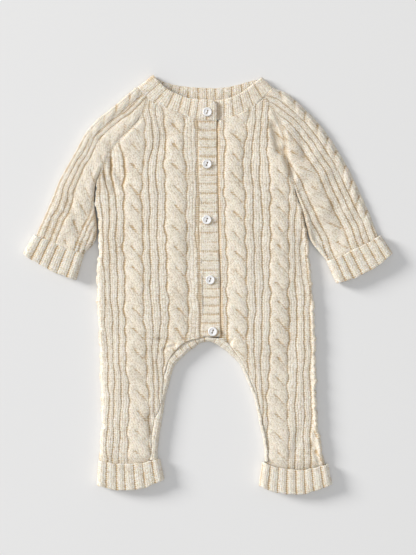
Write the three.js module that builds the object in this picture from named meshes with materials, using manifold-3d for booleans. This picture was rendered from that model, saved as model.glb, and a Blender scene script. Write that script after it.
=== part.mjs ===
// A baby romper in cable knit, buttoned and laid flat on its back, seen from above with the neck towards +Y.
// Millimetres, +Z up, the floor at z = 0. The origin is on the floor, under the middle of the garment.
// Left and right are those of someone who looks down on it with the neck away from them.

import * as THREE from 'three';
import { mergeVertices } from 'three/addons/utils/BufferGeometryUtils.js';
import Module from 'manifold-3d';

const wasm = await Module();
wasm.setup();

// Cloth
const WALL = 3; // one layer of knit, without its ribs
const LAID = 9; // the front's outer face above the floor, over the back
const MIDDLE = LAID / 2; // height of the soft edge where front and back meet
const ROLL = LAID / 2; // radius of that edge
const SEAM = 0.3; // gap between two pieces at a seam
const LOFT = 1.4; // how far the middle of a panel stands above its edges
const INNER_LOFT = 0.8; // part of that height which the inner face follows
const RIB = 1.1; // height of a rib
const CABLE = 2.1; // height of a cable
const PITCH = 24; // length of one crossing of a cable
const ROW = PITCH / 3; // distance between the rows of points
const EDGE_FADE = 3; // width over which ribs and cables sink towards a seam
const NECK_ROWS = 6; // rows of points along the slanting neck edge of a front
const NECK_ROW_START = 2.4; // the first of them, below the top of the raglan
const NECK_ROW_SPREAD = 0.85; // below 1, the rows sit closer together near the button band
const UNDERARM_X = 97.4; // how far the back's flat plate reaches under the right arm
const CURVE_POINTS = 1.5; // points along a curved edge for each of its rows
const PLATE_SHORT = 0.8; // how far the back's flat plate ends before the soft edges beside it
const CROTCH_ROWS = [0, 0.8, 1.8, 3.2, 5.5, 10]; // rows below the crotch, where the seam turns

// Cuffs and bands
const CUFF_WALL = 5; // two layers, as the cuff is turned up
const CUFF_TOP = 12.2; // outer face of a turned-up cuff above the floor
const CUFF_RIB = 1.1;
const BAND = 2.8; // one layer of the button band
const UNDER_BAND_Z = 3.9; // underside of the lower band
const TOP_BAND_Z = 7; // underside of the upper band
const BAND_RIB = 1.1;
const BAND_RIB_WIDTH = 10.8;
const BAND_END = -63.8; // lower end of the button band
const NECK_RIB = 1.1;
const NECK_RIB_WIDTH = 10.4;
const INSEAM_RIB = 0.9;
const INSEAM_RIB_WIDTH = 9.6;
const INSEAM_PLAIN_FROM = 0.66; // part of the inseam, from the left cuff, where its ribs end

// Buttons
const BUTTON_RADIUS = 5.5;
const BUTTON_HEIGHT = 2.6;
const BUTTON_HOLE_RADIUS = 0.75;
const BUTTON_HOLE_SPREAD = 3.4; // between the centres of the two holes
const BUTTON_TURN = -20; // degrees that the pair of holes leans

const cream = { color: 0xd7cbb7, roughness: 0.95, metalness: 0 };
const shell = { color: 0xf1ece2, roughness: 0.35, metalness: 0 };

const table = (names, ...rows) => rows.map((row) => Object.fromEntries(names.split(' ').map((name, i) => [name, row[i]])));

// Edges of the panels, from the neck down
const leftRaglan = table('x y', [-72.4, 223.4], [-82.8, 197], [-97.2, 182.4], [-114, 164.4], [-124.8, 143], [-133.8, 121]);
const rightRaglan = table('x y', [69, 223.6], [79.8, 209.4], [88.3, 189.6], [93.2, 172.8], [94.2, 152], [98.6, 136.5]);
const leftSide = table('x y', [-133.8, 121], [-135, 101], [-132, 71], [-132, 41], [-134, 10], [-133.5, -19], [-130.8, -67],
  [-129.6, -115], [-128, -163], [-130.2, -199], [-131.2, -211.8]);
const rightSide = table('x y', [98.6, 136.5], [103, 124], [105.8, 108], [110.2, 96], [114.6, 84], [117.8, 68], [121, 48],
  [123, 20], [126, -10], [128.4, -38], [129.8, -77], [130.4, -115], [131.2, -154], [134.4, -182], [138, -202], [141.4, -215.4]);
const neckLeft = table('x y', [-72.8, 223.6], [-65.4, 216], [-44.6, 207.6], [-25.2, 200.4], [-12.8, 196.6]);
const neckRight = table('x y', [69.4, 223.8], [58.2, 214.8], [47.2, 207.6], [28.8, 199], [12, 195]);
const backNeck = table('x y', [-70, 221.6], [-45, 213.6], [-8.4, 210.2], [13.2, 209.8], [34.8, 213.2], [56, 220], [67, 222.4]);
const bandLeft = table('x y', [-12.7, 200], [-11, 101], [-10.2, 29], [-8.5, -64]);
const bandRight = table('x y', [11.4, 200], [12.6, 101], [14.4, 29], [16.2, -64]);

// The inseam: the garment's edge between the legs, and the seam where the back that is wrapped over meets the front
const leftInseam = table('x y seamX seamY', [-3, -70, -3, -64.4], [-10, -71.5, -13, -65], [-16, -76.5, -22, -67.4],
  [-24, -82, -30.5, -71.8], [-31, -88.5, -38, -79], [-38.5, -96, -45, -88.5], [-43.2, -105.6, -50.5, -102],
  [-46, -118, -53, -115.4], [-50, -132, -54.6, -130.8], [-52.5, -146, -56, -145.4], [-55.2, -163, -63.6, -162],
  [-58.6, -182.4, -67.4, -181.6], [-60.6, -201, -68, -200.4], [-60.8, -209.4, -69.6, -209]);
const rightInseam = table('x y seamX seamY', [-3, -70, -3, -64.4], [4, -70, 7, -64.5], [10, -72.5, 15.5, -65.6],
  [16.5, -77, 22, -69.4], [24, -82.4, 29, -76.6], [31, -89, 35, -85], [38.4, -97, 41.8, -95],
  [43.2, -106.5, 46.4, -105.4], [46.8, -116, 50, -115], [51, -126, 54.2, -125], [55.6, -138, 58.8, -137.2],
  [59.4, -154, 62.6, -153.4], [63, -173, 66.2, -172.4], [67, -192, 70.2, -191.6], [68.6, -213.4, 71.8, -213.2]);

// Sleeves: the shoulder fold, and the raglan and underarm edge across from it; closed says how far the edge rolls shut
const leftSleeve = table('foldX foldY edgeX edgeY closed', [-88.2, 234.6, -73.2, 222.4, 0], [-98.6, 225.4, -79.2, 205, 0],
  [-115.2, 211.2, -89, 190.9, 0], [-133.2, 196.8, -107.4, 171.6, 0], [-146.6, 182, -117.6, 157.6, 0],
  [-157.4, 163.2, -125.4, 142.4, 0], [-168, 144, -134.2, 122, 0.4], [-178.6, 125, -136.6, 105, 1],
  [-186.4, 105.6, -135.6, 88, 1], [-194.4, 86.4, -133.4, 68, 1], [-201.4, 71, -136, 51, 1], [-206.6, 58.8, -149.2, 35.8, 1]);
const rightSleeve = table('foldX foldY edgeX edgeY closed', [81, 234, 70, 223, 0], [94, 228.8, 77, 214, 0],
  [107, 218.4, 82.4, 205, 0], [121.2, 204.4, 88.8, 190, 0], [132.4, 193.2, 92.6, 176, 0], [147.8, 172.8, 94.6, 154, 0],
  [159.6, 153.6, 99.6, 135, 0.4], [170.4, 134.4, 106.2, 109, 1], [179.4, 115.2, 113.6, 88, 1], [188.4, 96, 118.6, 68, 1],
  [196.8, 77, 124, 51, 1], [205.2, 57.2, 143, 27.1, 1]);

// Lower ends of the legs, where the cuffs start: the two ends of a line that bows down in its middle
const leftHem = { x0: -132, y0: -211.9, x1: -57.6, y1: -209.7, bow: 4.5 };
const rightHem = { x0: 65, y0: -213.6, x1: 144.6, y1: -215.6, bow: 8 };

const HEM_PARTS = [0.8, 0.65, 0.5, 0.35, 0.2]; // places of the points along it

// Turned-up cuffs: the two ends of the upper edge and of the lower fold, and how far each bows out in its middle
const hemEnds = (hem) => [hem.x0, hem.y0 - SEAM * 2, hem.x1, hem.y1 - SEAM * 2];
const cuffs = {
  sleeve_cuff_left: { top: [-209.9, 59.5, -148.9, 35.1], fold: [-222.8, 36.4, -158.6, 4.2], topBow: 0.8, foldBow: 3, ribs: 6 },
  sleeve_cuff_right: { top: [142.5, 26.3, 208.2, 58], fold: [154.4, 0, 222.6, 36.4], topBow: 0.8, foldBow: 5, ribs: 7 },
  leg_cuff_left: { top: hemEnds(leftHem), fold: [-134, -242, -52.2, -235], topBow: leftHem.bow, foldBow: 9, ribs: 7 },
  leg_cuff_right: { top: hemEnds(rightHem), fold: [60.8, -243, 149.6, -240.4], topBow: rightHem.bow, foldBow: 11, ribs: 8 },
};

// The neckband, from its left front end round the back to its right front end: the seam edge, the free edge,
// and the lift of its overlapping ends. At a shoulder it turns over from one layer to the other.
const neckFrontLeft = table('seamX seamY freeX freeY lift', [10.8, 195.6, 10.4, 220.4, 1.4], [-1, 196, -1, 221.6, 1.4],
  [-12.8, 197, -10, 221.8, 1.3], [-25.2, 200.9, -22, 223, 0.5], [-44.6, 208.1, -37.4, 228.8, 0],
  [-65.2, 216.8, -50, 235.4, 0], [-83.6, 232.4, -63.4, 248.4, 0]);
const neckBack = table('seamX seamY freeX freeY lift', [-83.6, 232.4, -63.4, 248.4, 0], [-69.6, 222.6, -52, 243.2, 0],
  [-45, 214.4, -37.6, 239.2, 0], [-8.4, 211, -8.4, 236.4, 0], [13.2, 210.6, 13.2, 236, 0], [34.8, 214, 34.8, 239.4, 0],
  [54, 220.8, 49, 243.6, 0], [75, 232.8, 61.6, 246.2, 0]);
const neckFrontRight = table('seamX seamY freeX freeY lift', [75, 232.8, 61.6, 246.2, 0], [58.4, 215.8, 48.6, 236.4, 0],
  [47.2, 208.4, 40.8, 230.6, 0], [28.8, 199.9, 26.6, 224, 0], [13, 196.2, 13, 221.4, -2.1], [-11, 196.6, -11, 221.2, -2.1]);

// Bands of ribs and cables on a front, in millimetres from the side to the button band, when the front is 121 wide
const FRONT_WIDTH = 121;
const leftFrontBands = table('from to kind', [4.6, 14.2, 'rib'], [14.2, 22.8, 'rib'], [22.8, 31.8, 'rib'], [33, 55.6, 'cable'],
  [56, 63.4, 'rib'], [63.4, 72, 'rib'], [72, 82.6, 'rib'], [84.4, 107.4, 'cable'], [109, 120, 'flat rib']);
const rightFrontBands = table('from to kind', [4.6, 10, 'rib'], [10, 18.6, 'rib'], [18.6, 26.4, 'rib'], [27.6, 49.6, 'cable'],
  [50.6, 60.8, 'rib'], [60.8, 70, 'rib'], [70, 80, 'rib'], [82, 104.8, 'cable'], [107, 119, 'flat rib']);

// Bands on a sleeve, in millimetres from the shoulder fold towards the underarm
const leftSleeveBands = table('from to kind', [2, 8, 'rib'], [8, 13.2, 'rib'], [13.2, 18.6, 'rib'], [18.8, 43, 'cable'],
  [43.2, 48, 'rib'], [48, 54, 'rib'], [54, 60, 'rib']);
const rightSleeveBands = table('from to kind', [3, 11.6, 'rib'], [11.6, 19, 'rib'], [19, 26.6, 'rib'], [26.6, 35.4, 'rib'],
  [36, 58, 'cable'], [59, 66, 'rib'], [66, 74, 'rib']);

const buttonPlaces = table('x y', [-0.8, 206.4], [-1.2, 144], [-1.4, 77], [2.6, 5], [5.6, -57]);

// Curves

function curveOf(rows, x = 'x', y = 'y') {
  return new THREE.CatmullRomCurve3(rows.map((row) => new THREE.Vector3(row[x], row[y], 0)), false, 'centripetal');
}

// A curve that runs down the garment, as x for a height y on it
function acrossAt(rows, x = 'x', y = 'y') {
  const points = curveOf(rows, x, y).getPoints(rows.length * 12);
  const first = points[0];
  const last = points[points.length - 1];
  return (height) => {
    if (height >= first.y) return first.x;
    if (height <= last.y) return last.x;
    const below = points.findIndex((point) => point.y <= height);
    const a = points[below - 1];
    const b = points[below];
    return a.x + (b.x - a.x) * ((a.y - height) / Math.max(a.y - b.y, 1e-9));
  };
}

// The same rows, moved sideways from each seam point, away from the garment's edge
function seamMoved(rows, distance) {
  return rows.map((row) => {
    const away = new THREE.Vector2(row.seamX - row.x, row.seamY - row.y).normalize().multiplyScalar(distance);
    return { x: row.seamX + away.x, y: row.seamY + away.y };
  });
}

// Height of a leg's lower end at x
function hemAt({ x0, y0, x1, y1, bow }, x) {
  const part = clamp((x - x0) / (x1 - x0), 0, 1);
  return mix(y0, y1, part) - bow * Math.sin(Math.PI * part);
}

const clamp = THREE.MathUtils.clamp;
const mix = THREE.MathUtils.lerp;
const smooth = THREE.MathUtils.smoothstep;

// Relief of ribs and cables

function ropeHeight(across, along) {
  const lobe = along / PITCH + 0.85 * (across - 0.5);
  const round = Math.sin(Math.PI * clamp(across, 0, 1)) ** 0.5;
  const strand = Math.sin(Math.PI * (lobe - Math.floor(lobe))) ** 0.7;
  return CABLE * round * (0.3 + 0.7 * strand);
}

function bandHeight(bands, position, along) {
  const band = bands.find((one) => position >= one.from && position <= one.to);
  if (!band) return 0;
  const across = (position - band.from) / (band.to - band.from);
  if (band.kind === 'cable') return ropeHeight(across, along);
  const height = band.kind === 'flat rib' ? RIB * 0.5 : RIB;
  return height * Math.sin(Math.PI * across) ** 0.8;
}

// Positions of the points across a set of bands: every border, one point on a rib and three on a cable
function bandColumns(bands) {
  const columns = [];
  for (const { from, to, kind } of bands) {
    const steps = kind === 'cable' ? 4 : 2;
    for (let i = 0; i <= steps; i += 1) columns.push(mix(from, to, i / steps));
  }
  return columns.filter((column, i) => i === 0 || column - columns[i - 1] > 0.05);
}

// Walls

// Triangles between two rows of points that start and end side by side; each row is a list of [index, position]
function stitch(faces, near, far) {
  let i = 0;
  let j = 0;
  while (i < near.length - 1 || j < far.length - 1) {
    const nextNear = i < near.length - 1 ? near[i + 1][1] : Infinity;
    const nextFar = j < far.length - 1 ? far[j + 1][1] : Infinity;
    if (nextNear <= nextFar) {
      faces.push([near[i][0], near[i + 1][0], far[j][0]]);
      i += 1;
    } else {
      faces.push([near[i][0], far[j + 1][0], far[j][0]]);
      j += 1;
    }
  }
}

function meshFrom(points, faces) {
  const positions = points.flatMap((point) => [point.x, point.y, point.z]);
  let geometry = new THREE.BufferGeometry();
  geometry.setAttribute('position', new THREE.Float32BufferAttribute(positions, 3));
  geometry.setIndex(faces.flat());
  geometry = mergeVertices(geometry, 2e-3);
  const index = Array.from(geometry.index.array);
  const kept = [];
  for (let i = 0; i < index.length; i += 3) {
    const [a, b, c] = index.slice(i, i + 3);
    if (a !== b && b !== c && a !== c) kept.push(a, b, c);
  }
  if (volume(geometry.attributes.position, kept) < 0) {
    for (let i = 0; i < kept.length; i += 3) [kept[i], kept[i + 1]] = [kept[i + 1], kept[i]];
  }
  geometry.setIndex(kept);
  return geometry;
}

function volume(position, index) {
  const [a, b, c] = [new THREE.Vector3(), new THREE.Vector3(), new THREE.Vector3()];
  let sum = 0;
  for (let i = 0; i < index.length; i += 3) {
    a.fromBufferAttribute(position, index[i]);
    b.fromBufferAttribute(position, index[i + 1]);
    c.fromBufferAttribute(position, index[i + 2]);
    sum += a.dot(b.cross(c)) / 6;
  }
  return sum;
}

// A wall of cloth between a fine outer grid and a plain inner grid that uses only some of its rows and columns.
// outer(i, j) and inner(i, j) give points; a closed wall joins its last column to its first.
function wall({ rows, columns, outer, inner, innerRows, innerColumns, closed = false }) {
  const points = [];
  const faces = [];
  const outerAt = [];
  const innerAt = new Map();
  for (let i = 0; i < rows; i += 1) {
    outerAt.push([]);
    for (let j = 0; j < columns; j += 1) outerAt[i].push(points.push(outer(i, j)) - 1);
    if (closed) outerAt[i].push(outerAt[i][0]);
  }
  for (const i of innerRows) {
    for (const j of innerColumns) innerAt.set(`${i} ${j}`, points.push(inner(i, j)) - 1);
    if (closed) innerAt.set(`${i} ${columns}`, innerAt.get(`${i} 0`));
  }
  const acrossList = closed ? [...innerColumns, columns] : innerColumns;
  const innerPoint = (i, j) => innerAt.get(`${i} ${j}`);
  const outerWidth = closed ? columns : columns - 1;
  for (let i = 0; i < rows - 1; i += 1) {
    for (let j = 0; j < outerWidth; j += 1) {
      const [a, b, c, d] = [outerAt[i][j], outerAt[i + 1][j], outerAt[i + 1][j + 1], outerAt[i][j + 1]];
      faces.push([a, b, c], [a, c, d]);
    }
  }
  for (let m = 0; m < innerRows.length - 1; m += 1) {
    for (let n = 0; n < acrossList.length - 1; n += 1) {
      const [i, k] = [innerRows[m], innerRows[m + 1]];
      const [j, l] = [acrossList[n], acrossList[n + 1]];
      const [a, b, c, d] = [innerPoint(i, j), innerPoint(k, j), innerPoint(k, l), innerPoint(i, l)];
      faces.push([c, b, a], [d, c, a]);
    }
  }
  const flip = (list) => list.map(([a, b, c]) => [b, a, c]);
  const outerRow = (i) => outerAt[i].map((point, j) => [point, j]);
  const innerRow = (i) => acrossList.map((j) => [innerPoint(i, j), j]);
  const firstRim = [];
  const lastRim = [];
  stitch(firstRim, outerRow(0), innerRow(innerRows[0]));
  stitch(lastRim, outerRow(rows - 1), innerRow(innerRows[innerRows.length - 1]));
  faces.push(...firstRim, ...flip(lastRim));
  if (!closed) {
    const outerColumn = (j) => outerAt.map((row, i) => [row[j], i]);
    const innerColumn = (j) => innerRows.map((i) => [innerPoint(i, j), i]);
    const leftRim = [];
    const rightRim = [];
    stitch(leftRim, outerColumn(0), innerColumn(0));
    stitch(rightRim, outerColumn(columns - 1), innerColumn(columns - 1));
    faces.push(...flip(leftRim), ...rightRim);
  }
  return meshFrom(points, faces);
}

// Every nth number from 0 to last, with last itself
function everyNth(last, n, also = []) {
  const picked = new Set([0, last, ...also]);
  for (let i = 0; i < last; i += n) picked.add(i);
  return [...picked].sort((a, b) => a - b);
}

// Quarter of the soft edge of a folded or closed side: how far in and how high a point is, for an angle from the edge
function rolled(angle, radius) {
  return { inward: ROLL - radius * Math.cos(angle), up: radius * Math.sin(angle) };
}

const upperEdgeZ = MIDDLE + SEAM / 2;
const lowerEdgeZ = MIDDLE - SEAM / 2;

// Fronts

function frontPanel({ side, raglan, neck, band, inseam, bands, hem, onLeft }) {
  const sign = onLeft ? 1 : -1;
  const shoulder = raglan[0].y;
  const underarm = side[0].y;
  const bandStart = band[0].y;
  const sideAt = acrossAt(side);
  const raglanAt = acrossAt(raglan);
  const neckAt = acrossAt(neck);
  const bandAt = acrossAt(band);
  const inseamLine = seamMoved(inseam, SEAM * 2);
  const inseamAt = acrossAt(inseamLine);
  const neckEnd = neck[neck.length - 1].y;
  const crotch = inseamLine[0].y;
  const legEnd = inseam[inseam.length - 1].seamY;

  const outerLimit = (y) => (y > underarm ? raglanAt(y) + sign * SEAM : sideAt(y));
  const innerLimit = (y) => {
    if (y > neckEnd) return neckAt(y) - sign * SEAM;
    const atBand = bandAt(Math.min(y, bandStart)) - sign * SEAM;
    if (y > crotch) return atBand;
    return onLeft ? Math.min(atBand, inseamAt(y)) : Math.max(atBand, inseamAt(y));
  };
  const heights = [];
  for (let i = 0; i <= NECK_ROWS; i += 1) heights.push(mix(shoulder - NECK_ROW_START, neckEnd, (i / NECK_ROWS) ** NECK_ROW_SPREAD));
  for (let y = Math.floor(neckEnd / ROW) * ROW - 1; y > crotch + ROW / 4; y -= ROW) heights.push(y);
  for (const drop of CROTCH_ROWS) heights.push(crotch - drop);
  for (let y = crotch - CROTCH_ROWS[CROTCH_ROWS.length - 1] - ROW; y > legEnd + ROW / 2; y -= ROW) heights.push(y);
  heights.push(legEnd);

  const rollAngles = [0, 45].map(THREE.MathUtils.degToRad);
  const positions = bandColumns(bands);
  const columns = rollAngles.length + positions.length + 1;
  const scaleAt = (y) => Math.abs(bandAt(Math.min(y, bandStart)) - sideAt(y)) / FRONT_WIDTH;

  function placeAt(i, j) {
    const y = heights[i];
    const from = outerLimit(y);
    const to = innerLimit(y);
    const width = Math.abs(to - from);
    const closed = y <= underarm;
    let inward;
    if (j < rollAngles.length) inward = closed ? rolled(rollAngles[j], ROLL).inward : 0;
    else if (j === columns - 1) inward = width;
    else inward = positions[j - rollAngles.length] * scaleAt(y) - Math.abs(from - sideAt(y));
    inward = clamp(inward, j < rollAngles.length ? 0 : Math.min(closed ? ROLL : 0, width), width);
    return { y, from, width, closed, inward, angle: j < rollAngles.length ? rollAngles[j] : Math.PI / 2 };
  }
  const heightAt = (place, x, i) => (i === heights.length - 1 ? hemAt(hem, x) : place.y);
  const loft = (place) => LOFT * Math.sin(Math.PI * clamp(place.inward / place.width, 0, 1)) ** 0.7;

  function outer(i, j) {
    const place = placeAt(i, j);
    const x = place.from + sign * place.inward;
    if (j < rollAngles.length && place.closed) {
      const edge = rolled(place.angle, ROLL);
      const rolledX = place.from + sign * edge.inward;
      return new THREE.Vector3(rolledX, heightAt(place, rolledX, i), upperEdgeZ + edge.up);
    }
    const position = Math.abs(x - sideAt(place.y)) / scaleAt(place.y);
    const toEdge = Math.min(place.width - place.inward, place.closed ? Infinity : place.inward);
    const toEnd = i === heights.length - 1 ? 0 : 1;
    const relief = bandHeight(bands, position, place.y) * smooth(toEdge, 0, EDGE_FADE) * toEnd;
    return new THREE.Vector3(x, heightAt(place, x, i), LAID + SEAM / 2 + loft(place) + relief);
  }
  function inner(i, j) {
    const place = placeAt(i, j);
    const angle = j === 0 ? 0 : Math.PI / 2;
    const edge = rolled(angle, ROLL - WALL);
    const inward = place.closed && j < rollAngles.length ? edge.inward : clamp(place.inward, 0.5, place.width - 0.5);
    const up = place.closed && j < rollAngles.length ? edge.up : ROLL - WALL;
    const x = place.from + sign * inward;
    return new THREE.Vector3(x, heightAt(place, x, i), upperEdgeZ + up + loft(place) * INNER_LOFT);
  }
  return wall({
    rows: heights.length,
    columns,
    outer,
    inner,
    innerRows: everyNth(heights.length - 1, 2),
    innerColumns: everyNth(columns - 1, 8, [rollAngles.length, columns - 2]),
  });
}

// Back: a flat plate, the soft edges at its sides, and the strip that is wrapped forward over the inseam

function insetFrom(rows, distance, sign) {
  const points = curveOf(rows).getPoints(Math.round(rows.length * CURVE_POINTS));
  return points.map((point, i) => {
    const before = points[Math.max(i - 1, 0)];
    const after = points[Math.min(i + 1, points.length - 1)];
    const along = new THREE.Vector2(after.x - before.x, after.y - before.y).normalize();
    const short = i === points.length - 1 ? PLATE_SHORT : 0;
    const x = point.x - sign * along.y * distance - along.x * short;
    return new THREE.Vector2(x, point.y + sign * along.x * distance - along.y * short);
  });
}

// Points along the lower end of a leg, from its right to its left
function hemPoints(hem) {
  return HEM_PARTS.map((part) => {
    const x = mix(hem.x0, hem.x1, part);
    return new THREE.Vector2(x, hemAt(hem, x));
  });
}

function backPlate() {
  const overlap = ROLL + SEAM * 2;
  const outline = [
    ...backNeck.map((row) => new THREE.Vector2(row.x, row.y)),
    ...insetFrom(rightRaglan.slice(1), SEAM, 1).map((point) => new THREE.Vector2(Math.min(point.x, UNDERARM_X), point.y)),
    ...insetFrom(rightSide, overlap, -1).slice(2),
    ...hemPoints(rightHem),
    ...insetFrom(rightInseam, overlap, 1).reverse(),
    ...insetFrom(leftInseam, overlap, -1).slice(1),
    ...hemPoints(leftHem),
    ...insetFrom(leftSide, overlap, 1).reverse().slice(0, -2),
    ...insetFrom(leftRaglan.slice(1), SEAM, 1).reverse(),
  ];
  return new THREE.ExtrudeGeometry(new THREE.Shape(outline), { depth: WALL, bevelEnabled: false });
}

// A strip with the same section all along; stations hold an edge point, a direction into the garment and a section
function strip(stations) {
  const points = [];
  const faces = [];
  const size = stations[0].section.length;
  for (const { edge, into, section } of stations) {
    for (const { inward, z } of section) points.push(new THREE.Vector3(edge.x + into.x * inward, edge.y + into.y * inward, z));
  }
  for (let i = 0; i < stations.length - 1; i += 1) {
    for (let j = 0; j < size; j += 1) {
      const k = (j + 1) % size;
      const [a, b, c, d] = [i * size + j, i * size + k, (i + 1) * size + k, (i + 1) * size + j];
      faces.push([a, b, c], [a, c, d]);
    }
  }
  function capOf(station) {
    const outline = station.section.map((p) => new THREE.Vector2(p.inward, p.z));
    const cap = THREE.ShapeUtils.triangulateShape(outline, []);
    return THREE.ShapeUtils.isClockWise(outline) ? cap.map(([a, b, c]) => [c, b, a]) : cap;
  }
  const last = (stations.length - 1) * size;
  for (const [a, b, c] of capOf(stations[0])) faces.push([c, b, a]);
  for (const [a, b, c] of capOf(stations[stations.length - 1])) faces.push([a + last, b + last, c + last]);
  return meshFrom(points, faces);
}

function lowerRoll(angles) {
  const outerArc = [];
  const innerArc = [];
  for (const angle of angles) {
    const turn = THREE.MathUtils.degToRad(angle);
    const outside = rolled(turn, ROLL);
    const inside = rolled(turn, ROLL - WALL);
    outerArc.push({ inward: outside.inward, z: Math.max(lowerEdgeZ - outside.up * (lowerEdgeZ / ROLL), 0) });
    innerArc.push({ inward: inside.inward, z: lowerEdgeZ - inside.up * ((lowerEdgeZ - WALL) / (ROLL - WALL)) });
  }
  return { outerArc, innerArc };
}

function sideStrip(rows, sign) {
  const points = curveOf(rows).getPoints(Math.round(rows.length * CURVE_POINTS));
  const { outerArc, innerArc } = lowerRoll([0, 30, 60, 90]);
  const floor = [{ inward: ROLL + 2, z: 0 }, { inward: ROLL + 2, z: WALL }];
  const section = [...outerArc, ...floor, ...innerArc.reverse()];
  return strip(points.map((edge, i) => {
    const before = points[Math.max(i - 1, 0)];
    const after = points[Math.min(i + 1, points.length - 1)];
    const along = new THREE.Vector2(after.x - before.x, after.y - before.y).normalize();
    return { edge, into: new THREE.Vector2(-sign * along.y, sign * along.x), section };
  }));
}

function inseamStrip() {
  const all = [...leftInseam.slice(1).reverse(), ...rightInseam];
  const edges = curveOf(all);
  const seams = curveOf(all, 'seamX', 'seamY');
  const count = Math.round(edges.getLength() / (INSEAM_RIB_WIDTH / 2));
  const stations = [];
  for (let i = 0; i <= count; i += 1) {
    const plain = i > count * INSEAM_PLAIN_FROM;
    if (plain && i % 3 > 0 && i < count) continue;
    const edge = edges.getPoint(i / count);
    const seam = seams.getPoint(i / count);
    const width = Math.hypot(seam.x - edge.x, seam.y - edge.y);
    const into = new THREE.Vector2(seam.x - edge.x, seam.y - edge.y).normalize();
    const last = Math.acos(clamp(1 - width / ROLL, 0, 1));
    const relief = i % 2 === 1 && i > 1 && !plain ? INSEAM_RIB : 0;
    const outerTop = [0, 0.5, 1].map((part) => {
      const turn = rolled(last * part, ROLL + (part === 0 ? 0 : relief));
      return { inward: turn.inward, z: MIDDLE + turn.up };
    });
    const { outerArc, innerArc } = lowerRoll([45, 90]);
    const end = Math.max(width, ROLL + 0.2);
    const flatZ = MIDDLE + ROLL * Math.sin(last);
    const tip = width > ROLL + 0.4
      ? [{ inward: (width + ROLL) / 2, z: flatZ + relief }, { inward: width, z: flatZ }, { inward: end - 0.3, z: LAID - WALL }]
      : [{ inward: width + 0.02, z: flatZ - 0.1 }, { inward: width, z: flatZ - 0.5 }, { inward: width, z: LAID - WALL + 0.4 }];
    const inside = [{ inward: Math.min(ROLL - 0.6, width - 0.2), z: LAID - WALL }, { inward: WALL, z: MIDDLE }];
    const floor = [{ inward: ROLL + 2, z: WALL }, { inward: ROLL + 2, z: 0 }];
    stations.push({ edge, into, section: [...outerTop, ...tip, ...inside, ...innerArc, ...floor, ...outerArc.reverse()] });
  }
  return strip(stations);
}

function solidOf(geometry) {
  const bare = geometry.clone();
  bare.deleteAttribute('normal');
  bare.deleteAttribute('uv');
  const merged = mergeVertices(bare, 1e-3);
  const mesh = new wasm.Mesh({
    numProp: 3,
    vertProperties: new Float32Array(merged.attributes.position.array),
    triVerts: new Uint32Array(merged.index.array),
  });
  return new wasm.Manifold(mesh);
}

function geometryOf(solid) {
  const { vertProperties, triVerts } = solid.getMesh();
  const geometry = new THREE.BufferGeometry();
  geometry.setAttribute('position', new THREE.BufferAttribute(new Float32Array(vertProperties), 3));
  geometry.setIndex(Array.from(triVerts));
  return geometry;
}

function backPanel() {
  const pieces = [backPlate(), sideStrip(leftSide, 1), sideStrip(rightSide, -1), inseamStrip()];
  const joined = pieces.map(solidOf).reduce((whole, piece) => whole.add(piece));
  // Joining can leave a speck with no volume where two faces cross, so only the panel itself is kept
  return geometryOf(joined.decompose().reduce((largest, one) => (one.volume() > largest.volume() ? one : largest)));
}

// Sleeves: one sheet that runs from the edge over the top to the shoulder fold and back beneath

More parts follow.
